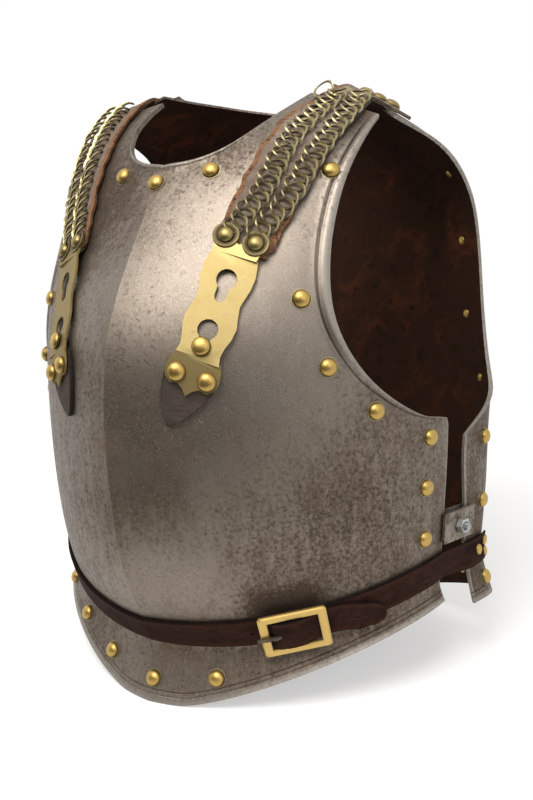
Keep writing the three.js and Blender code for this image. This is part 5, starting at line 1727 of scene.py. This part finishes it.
@dataclass
class WaistBelt:
    """The two halves of the waist belt, their rivets, and the buckle between them."""

    palette: Palette
    thickness: float = 2.4
    seat: float = 0.6
    across: tuple[float, ...] = (-10, -9.2, -8.2, -5, -1.6, 1.6, 5, 8.2, 9.2, 10)
    hump: Table = ((-1.5, 0), (-0.82, 0.05), (-0.7, 0.4), (-0.52, 0.84), (-0.25, 0.98), (0, 1), (0.25, 0.9),
                   (0.6, 0.48), (0.9, 0.36), (1.2, 0.35), (1.7, 0.35), (2.2, 0.35), (2.75, 0.35))
    hump_height: float = 8
    tip_sag: float = 9.5
    slot_span: tuple[float, float] = (-18.5, -13.5)
    hole_place: float = -28.5
    back_places: tuple[float, ...] = (1, 0.975, 0.95, 0.92, 0.87, 0.82)
    rivet_places: Table = ((0.93, 0), (0.855, 4.5), (0.855, -4.5))
    buckle_place: float = 0.455
    half_length: float = 23
    half_height: float = 16.75
    side_bar: float = 6
    rail: float = 5.4
    pin_height: float = 4.6
    pin_radius: float = 1.2
    heart: Vector = field(default_factory=lambda: Vector((0, 0, 80)))

    def __post_init__(self) -> None:
        """Measures the belt's line round the breastplate."""
        self.reach = Line(BREAST, [(share, self.level(share) / BREAST.height) for share in shares()])
        self.buckle_at = self.buckle_place * self.reach.total
        point, normal = self.spot(1, BREAST, self.front(self.buckle_at), 0, 0)
        ahead, _ = self.spot(1, BREAST, self.front(self.buckle_at + self.side_bar), 0, 0)
        self.frame = frame_at(point, normal, normal.cross(ahead - point))

    def build(self) -> None:
        """Makes the belt, the buckle and the belt's rivets."""
        self.right_belt()
        self.left_belt()
        self.buckle()
        self.rivets()

    def level(self, q: float) -> float:
        """The height of the belt's middle at the place q."""
        return 52 + 30 * BREAST.share_at(q) ** 2.4

    def front(self, distance: float) -> float:
        """The place on the breastplate at a distance from the middle of the front."""
        return self.reach.at(abs(distance) / self.reach.total)[0]

    def spot(self, way: int, shape: PlateShape, q: float, across: float,
             lift: float) -> tuple[Vector, Vector]:
        """A point of the belt and its outward normal.

        Args:
            way: 1 on the wearer's left, -1 on the right.
            shape: the plate that carries the belt there.
            q: the place round the plate.
            across: the distance above the belt's middle.
            lift: the height above the plate.

        Returns:
            The point and the normal.
        """
        height = self.level(q if shape is BREAST else 1) + across
        normal = shape.normal_of(shape.skin, clamp(q, SHY, 1 - SHY), height)
        point = shape.skin(q, height) + normal * lift
        if way < 0:
            point, normal = mirrored(point), mirrored(normal)
        return point, normal

    def ribbon(self, stops: Sequence[tuple[int, PlateShape, float, float, float]], tip: int = 0,
               slot: tuple[float, float] = (0, 0)) -> Workpiece:
        """Lays the belt's outer face over its stops.

        Args:
            stops: side, plate, place, lift and sag of each stop.
            tip: how many stops the rounded end takes.
            slot: the stops between which the tongue's slot is open.

        Returns:
            The belt in the making.
        """
        rows = []
        for k, (way, shape, q, lift, sag) in enumerate(stops):
            left = len(stops) - 1 - k
            narrow = math.sqrt(max(1 - ((tip - left) / tip) ** 2, 0.0)) if tip and left < tip else 1.0
            row = []
            for across in self.across:
                wave = 0.25 * noise.noise(Vector((k * 0.35, across * 0.3, 5)))
                height = across * max(narrow, 0.25) + wave - sag
                row.append(self.spot(way, shape, q, height, lift + self.thickness)[0])
            rows.append(row)
        work = Workpiece()
        cut = [[1.0 if abs(a) > 9.5 else 0.0 for a in self.across] for _ in stops]
        border = [[0.85 if 7 < abs(a) < 9.5 else 0.0 for a in self.across] for _ in stops]
        made = work.sheet(rows, {"cut": cut, "border": border})
        work.outward(self.heart)
        if slot[1] > slot[0]:
            wide = len(self.across)
            inside = {made[k * wide + i] for k in range(slot[0], slot[1] + 1) for i in (4, 5)}
            doomed = [face for face in work.bm.faces if all(v in inside for v in face.verts)]
            bmesh.ops.delete(work.bm, geom=doomed, context="FACES")
        return work

    def right_belt(self) -> bpy.types.Object:
        """Makes the long half that runs round the front and through the buckle."""
        stops = [(-1, BACK, q, self.seat, 0.0) for q in reversed(self.back_places)]
        start, calm = -self.reach.total, self.buckle_at + self.half_length * self.hump[0][0]
        for share in shares(64):
            distance = start + (calm - start) * share
            stops.append((-1 if distance < 0 else 1, BREAST, self.front(distance), self.seat, 0.0))
        slot = []
        for part, raised in smooth_places(self.hump, 80)[1:]:
            beyond = self.half_length * part
            if self.slot_span[0] < beyond < self.slot_span[1]:
                slot.append(len(stops))
            lift = self.seat + self.hump_height * raised
            sag = self.tip_sag * ease(part, 1.1, self.hump[-1][0])
            stops.append((1, BREAST, self.front(self.buckle_at + beyond), lift, sag))
        work = self.ribbon(stops, tip=6, slot=(slot[0], slot[-1]))
        self.punch(work, self.hole_place)
        part = Part("right_belt_hide", Body.SHELL, Slot.BELT, ("right_belt",))
        return work.done(part, [self.palette.belt], wall=self.thickness, rounding=0.4)

    def punch(self, work: Workpiece, beyond: float) -> None:
        """Punches a hole in the belt at a distance from the buckle, as a dimple painted dark, which is
        painted shade standing for the hole.
        """
        radius = 1.3
        where = self.front(self.buckle_at + beyond)
        point, normal = self.spot(1, BREAST, where, -0.5, self.seat + self.thickness)
        hole = turned([(0, 0.12, 0, 0), (1.1, 0.12, 0, 0), (radius, -0.2, 0, 0)])
        work.stamp(hole, frame_at(point, normal, UP))
        cut = work.mark("cut")
        for vert in work.bm.verts:
            away = vert.co - point
            if away.length < radius + 0.15 and abs(away.dot(normal)) > 0.06:
                # The dimple takes the dark cut colour, painted shade for the hole
                vert[cut] = 1.3

    def left_belt(self) -> bpy.types.Object:
        """Makes the short half, whose end turns round the buckle's bar."""
        start = self.buckle_at + 6.8
        stops = []
        for share in shares(48):
            distance = start + (self.reach.total - start) * share
            stops.append((1, BREAST, self.front(distance), self.seat, 0.0))
        stops += [(1, BACK, q, self.seat, 0.0) for q in self.back_places]
        work = self.ribbon(stops)
        loop, radius = [(7.6, 2.9)], 3.5
        for share in shares(14):
            angle = math.radians(40 + 290 * share)
            loop.append((radius * math.cos(angle), self.pin_height + radius * math.sin(angle)))
        for flip in (1, -1):
            rows = [[self.frame @ Vector((x, flip * across, z)) for across in (-10, -1.7)] for x, z in loop]
            none = [[0.0, 0.0] for _ in rows]
            work.sheet(rows, {"cut": none, "border": none})
        bmesh.ops.recalc_face_normals(work.bm, faces=work.bm.faces[:])
        work.outward(self.heart)
        part = Part("left_belt_hide", Body.SHELL, Slot.BELT, ("left_belt",))
        return work.done(part, [self.palette.belt], wall=1.2, rounding=0.3)

    def buckle(self) -> None:
        """Makes the buckle's frame with its bar, and its tongue."""
        rows, crowns = [], []
        # Each row's crown mark is high on the frame's top and low at its foot, which the brass turns into
        # painted highlight and painted shade
        for inset, height, crown in ((0, 6.6, 0.1), (0, 8.3, 0.75), (0.15, 9.2, 1.0), (0.85, 9.2, 0.8),
                                     (1, 8.4, 0.35), (1, 6.6, 0.0)):
            half_x, half_y = self.half_length - self.side_bar * inset, self.half_height - self.rail * inset
            corner = 2.4 - 1.7 * inset
            ring = []
            for step in range(25):
                angle = QUARTER * (step % 24) / 6
                x, y = math.cos(angle + 0.01), math.sin(angle + 0.01)
                ring.append(Vector((math.copysign(half_x - corner, x) + corner * x,
                                    math.copysign(half_y - corner, y) + corner * y, height)))
            rows.append(ring)
            crowns.append([crown] * 25)
        work = Workpiece()
        work.sheet([*rows, rows[0]], {"crown": [*crowns, crowns[0]]}, closed=True)
        bmesh.ops.remove_doubles(work.bm, verts=work.bm.verts[:], dist=1e-3)
        pin = turned([(radius, end, 0.1, 0) for radius, end in (
            (0, 13.5), (self.pin_radius, 13.5), (self.pin_radius, -13.5), (0, -13.5))])
        work.stamp(pin, Matrix.Translation((0, 0, self.pin_height)) @ Matrix.Rotation(QUARTER, 4, "X"))
        for side in Side:
            ear = Matrix.Translation((0, 13 * side.value, 5.3)) @ Matrix.Diagonal((2.4, 2.6, 3.0, 1.0))
            bmesh.ops.create_cube(work.bm, size=1.0, matrix=ear)
        bmesh.ops.transform(work.bm, matrix=self.frame, verts=work.bm.verts[:])
        bmesh.ops.recalc_face_normals(work.bm, faces=work.bm.faces[:])
        part = Part("buckle_frame_cast", Body.BUCKLE, Slot.BUCKLE, ("buckle_frame",))
        work.done(part, [self.palette.buckle])
        part = Part("buckle_tongue_iron", Body.TONGUE, Slot.TONGUE, ("buckle_tongue",))
        refined_copy(part, 0.00035, self.palette.tongue)

    def rivets(self) -> None:
        """Makes the rivets that hold each belt end to the backplate."""
        head = domed(4.1, 1.9, 2.6)
        for side in Side:
            for number, (q, across) in enumerate(self.rivet_places, 1):
                point, normal = self.spot(1, BACK, q, across, self.seat + self.thickness + 0.3)
                work = Workpiece()
                work.stamp(head, frame_at(point, normal, UP))
                node = f"{side.word}_belt_rivet_{number}"
                part = Part(f"{node}_dome", Body.SHELL, Slot.BRASS, (node,))
                work.on(side).done(part, [self.palette.rivet])


@dataclass
class SideClamps:
    """The bolted clamps that hold the two plates together at the sides."""

    palette: Palette

    def build(self) -> None:
        """Makes both clamps, each of two plates, a bolt and its nut."""
        for side in Side:
            word = side.word
            for which in ("outer", "inner"):
                node = f"{word}_clamp_{which}_plate"
                part = Part(f"{word}_clamp_{which}_iron", Body.SHELL, Slot.CLAMP, (node,))
                refined_copy(part, 0.0004, self.palette.clamp)
            for which, made in (("bolt", "threaded"), ("nut", "hexagon")):
                part = Part(f"{word}_clamp_{which}_{made}", Body.SHELL, Slot.ZINC, (f"{word}_clamp_{which}",))
                refined_copy(part, 0.0003, self.palette.zinc)


@dataclass
class Studio:
    """A pale floor, soft lamps and the camera."""

    azimuth: float = 32.04
    elevation: float = 10.07
    roll: float = -2.06
    distance: float = 0.6944
    lens: float = 39.28
    target: tuple[float, float, float] = (0.01205, 0.02167, 0.1885)
    heart_height: float = 0.22
    fade: tuple[float, float] = (0.42, 1.1)

    def build(self) -> None:
        """Lights the stage, lays the floor and sets the camera."""
        self.surroundings()
        self.floor()
        self.lamp("key", (0.09, -0.6, 0.79), far=1.5, size=1.0, power=20, colour=(1.0, 0.97, 0.93))
        self.lamp("side", (-0.96, 0.05, 0.26), far=1.7, size=0.7, power=1.2, colour=(0.95, 0.94, 1.0))
        self.lamp("fill", (0.9, -0.6, 0.5), far=2.2, size=1.2, power=6, colour=(1.0, 0.98, 0.96))
        self.card("dark_cloth", 0.05, (0.8, -1.72, CAD_BOUNDS[0][2] + 0.0004), (1.7, 1.3), 0.0)
        self.card("dark_curtain", 0.09, (0.4, -2.4, 0.75), (3.0, 0.85), QUARTER)
        self.camera()

    @staticmethod
    def seen(shader: Shader) -> Signal:
        """One for rays that the camera sends, straight or through mirrors and glass, else nothing."""
        rays = shader.node("ShaderNodeLightPath").outputs
        kinds = ("Camera", "Glossy", "Transmission")
        eye, gloss, glass = (Signal(shader, rays[f"Is {kind} Ray"]) for kind in kinds)
        return eye.most(gloss).most(glass)

    def surroundings(self) -> None:
        """Makes the world white to the eye and dim as a light."""
        world = bpy.data.worlds.new("studio")
        bpy.context.scene.world = world
        shader = Shader(world)
        white = shader.signal("ShaderNodeBackground", {}, {"Color": (1.0, 1.0, 1.0), "Strength": 1.0})
        dim = shader.signal("ShaderNodeBackground", {}, {"Color": (1.0, 0.985, 0.97), "Strength": 0.55})
        shader.end(shader.either(self.seen(shader), dim, white), "ShaderNodeOutputWorld")

    @staticmethod
    def plane(name: str, place: Matrix, material: bpy.types.Material) -> bpy.types.Object:
        """A flat square in a place, which runs from -1 to 1 either way before it is put there."""
        bm = bmesh.new()
        bmesh.ops.create_grid(bm, x_segments=1, y_segments=1, size=1.0)
        bmesh.ops.transform(bm, matrix=place, verts=bm.verts[:])
        obj = linked(name, mesh_of(bm, name))
        obj.data.materials.append(material)
        return obj

    def floor(self) -> None:
        """Lays the floor, which keeps the object's shadow and fades to white farther away."""
        shader = Shader.named("floor")
        reach = shader.signal("ShaderNodeVectorMath", {"operation": "LENGTH"}, {0: shader.place()}, "Value")
        far = reach.step(*self.fade)
        colour = shader.blend(far, (1.0, 1.0, 1.0), (0.625, 0.625, 0.625))
        glow = shader.signal("ShaderNodeEmission", {}, {"Color": colour, "Strength": 1.6})
        both = shader.either(self.seen(shader) * (far * 0.72 + 0.28), shader.matt(0.9), glow)
        obj = self.plane("floor", Matrix.Diagonal((6.0, 6.0, 1.0, 1.0)), shader.end(both))
        obj.location.z = CAD_BOUNDS[0][2] - 0.0002

    def card(self, name: str, grey: float, middle: Sequence[float], halves: Sequence[float],
             turn: float) -> None:
        """Sets up a plain grey card outside the picture, which darkens what the metal mirrors.

        Args:
            name: the card's name.
            grey: how much light it gives back.
            middle: its middle.
            halves: half its width and half its height.
            turn: how far it is tipped up from lying flat.
        """
        tipped = Matrix.Translation(middle) @ Matrix.Rotation(turn, 4, "X")
        shader = Shader.named(name)
        material = shader.end(shader.matt(grey))
        obj = self.plane(name, tipped @ Matrix.Diagonal((*halves, 1.0, 1.0)), material)
        obj.visible_camera = obj.visible_diffuse = obj.visible_shadow = obj.visible_transmission = False

    def lamp(self, name: str, way: Sequence[float], far: float, size: float, power: float,
             colour: Colour) -> None:
        """Hangs a soft lamp.

        Args:
            name: the lamp's name.
            way: its direction from the object.
            far: its distance.
            size: its width.
            power: its power in watts.
            colour: its colour.
        """
        data = bpy.data.lights.new(name, "AREA")
        data.shape, data.size, data.energy, data.color = "DISK", size, power, colour
        obj = linked(name, data)
        direction = Vector(way).normalized()
        obj.location = Vector((0, 0, self.heart_height)) + direction * far
        obj.rotation_euler = direction.to_track_quat("Z", "Y").to_euler()

    def camera(self) -> None:
        """Sets the camera where the photograph was taken from."""
        a, e, r = (math.radians(angle) for angle in (self.azimuth, self.elevation, self.roll))
        back = Vector((math.sin(a) * math.cos(e), -math.cos(a) * math.cos(e), math.sin(e)))
        right = (-back).cross(UP).normalized()
        up = right.cross(-back)
        rolled_right = right * math.cos(r) + up * math.sin(r)
        rolled_up = up * math.cos(r) - right * math.sin(r)
        place = Matrix((rolled_right, rolled_up, back)).transposed().to_4x4()
        place.translation = Vector(self.target) + back * self.distance
        data = bpy.data.cameras.new("camera")
        data.lens, data.sensor_width, data.clip_start = self.lens, 36, 0.05
        obj = linked("camera", data)
        obj.matrix_world = place
        bpy.context.scene.camera = obj
        bpy.context.scene.view_settings.view_transform = "Standard"


def main() -> None:
    """Builds the cuirass piece by piece, then its stage."""
    logging.basicConfig(level=logging.INFO, format="%(message)s")
    palette = Palette()
    PlatePiece(BREAST, "breastplate", palette).build()
    PlatePiece(BACK, "backplate", palette, columns=34, rows=56).build()
    course, hook = StrapCourse(), EndPlateFrame()
    for side in Side:
        ShoulderStrap(side, course, hook, palette).build()
    WaistBelt(palette).build()
    SideClamps(palette).build()
    Studio().build()


if __name__ == "__main__":
    main()
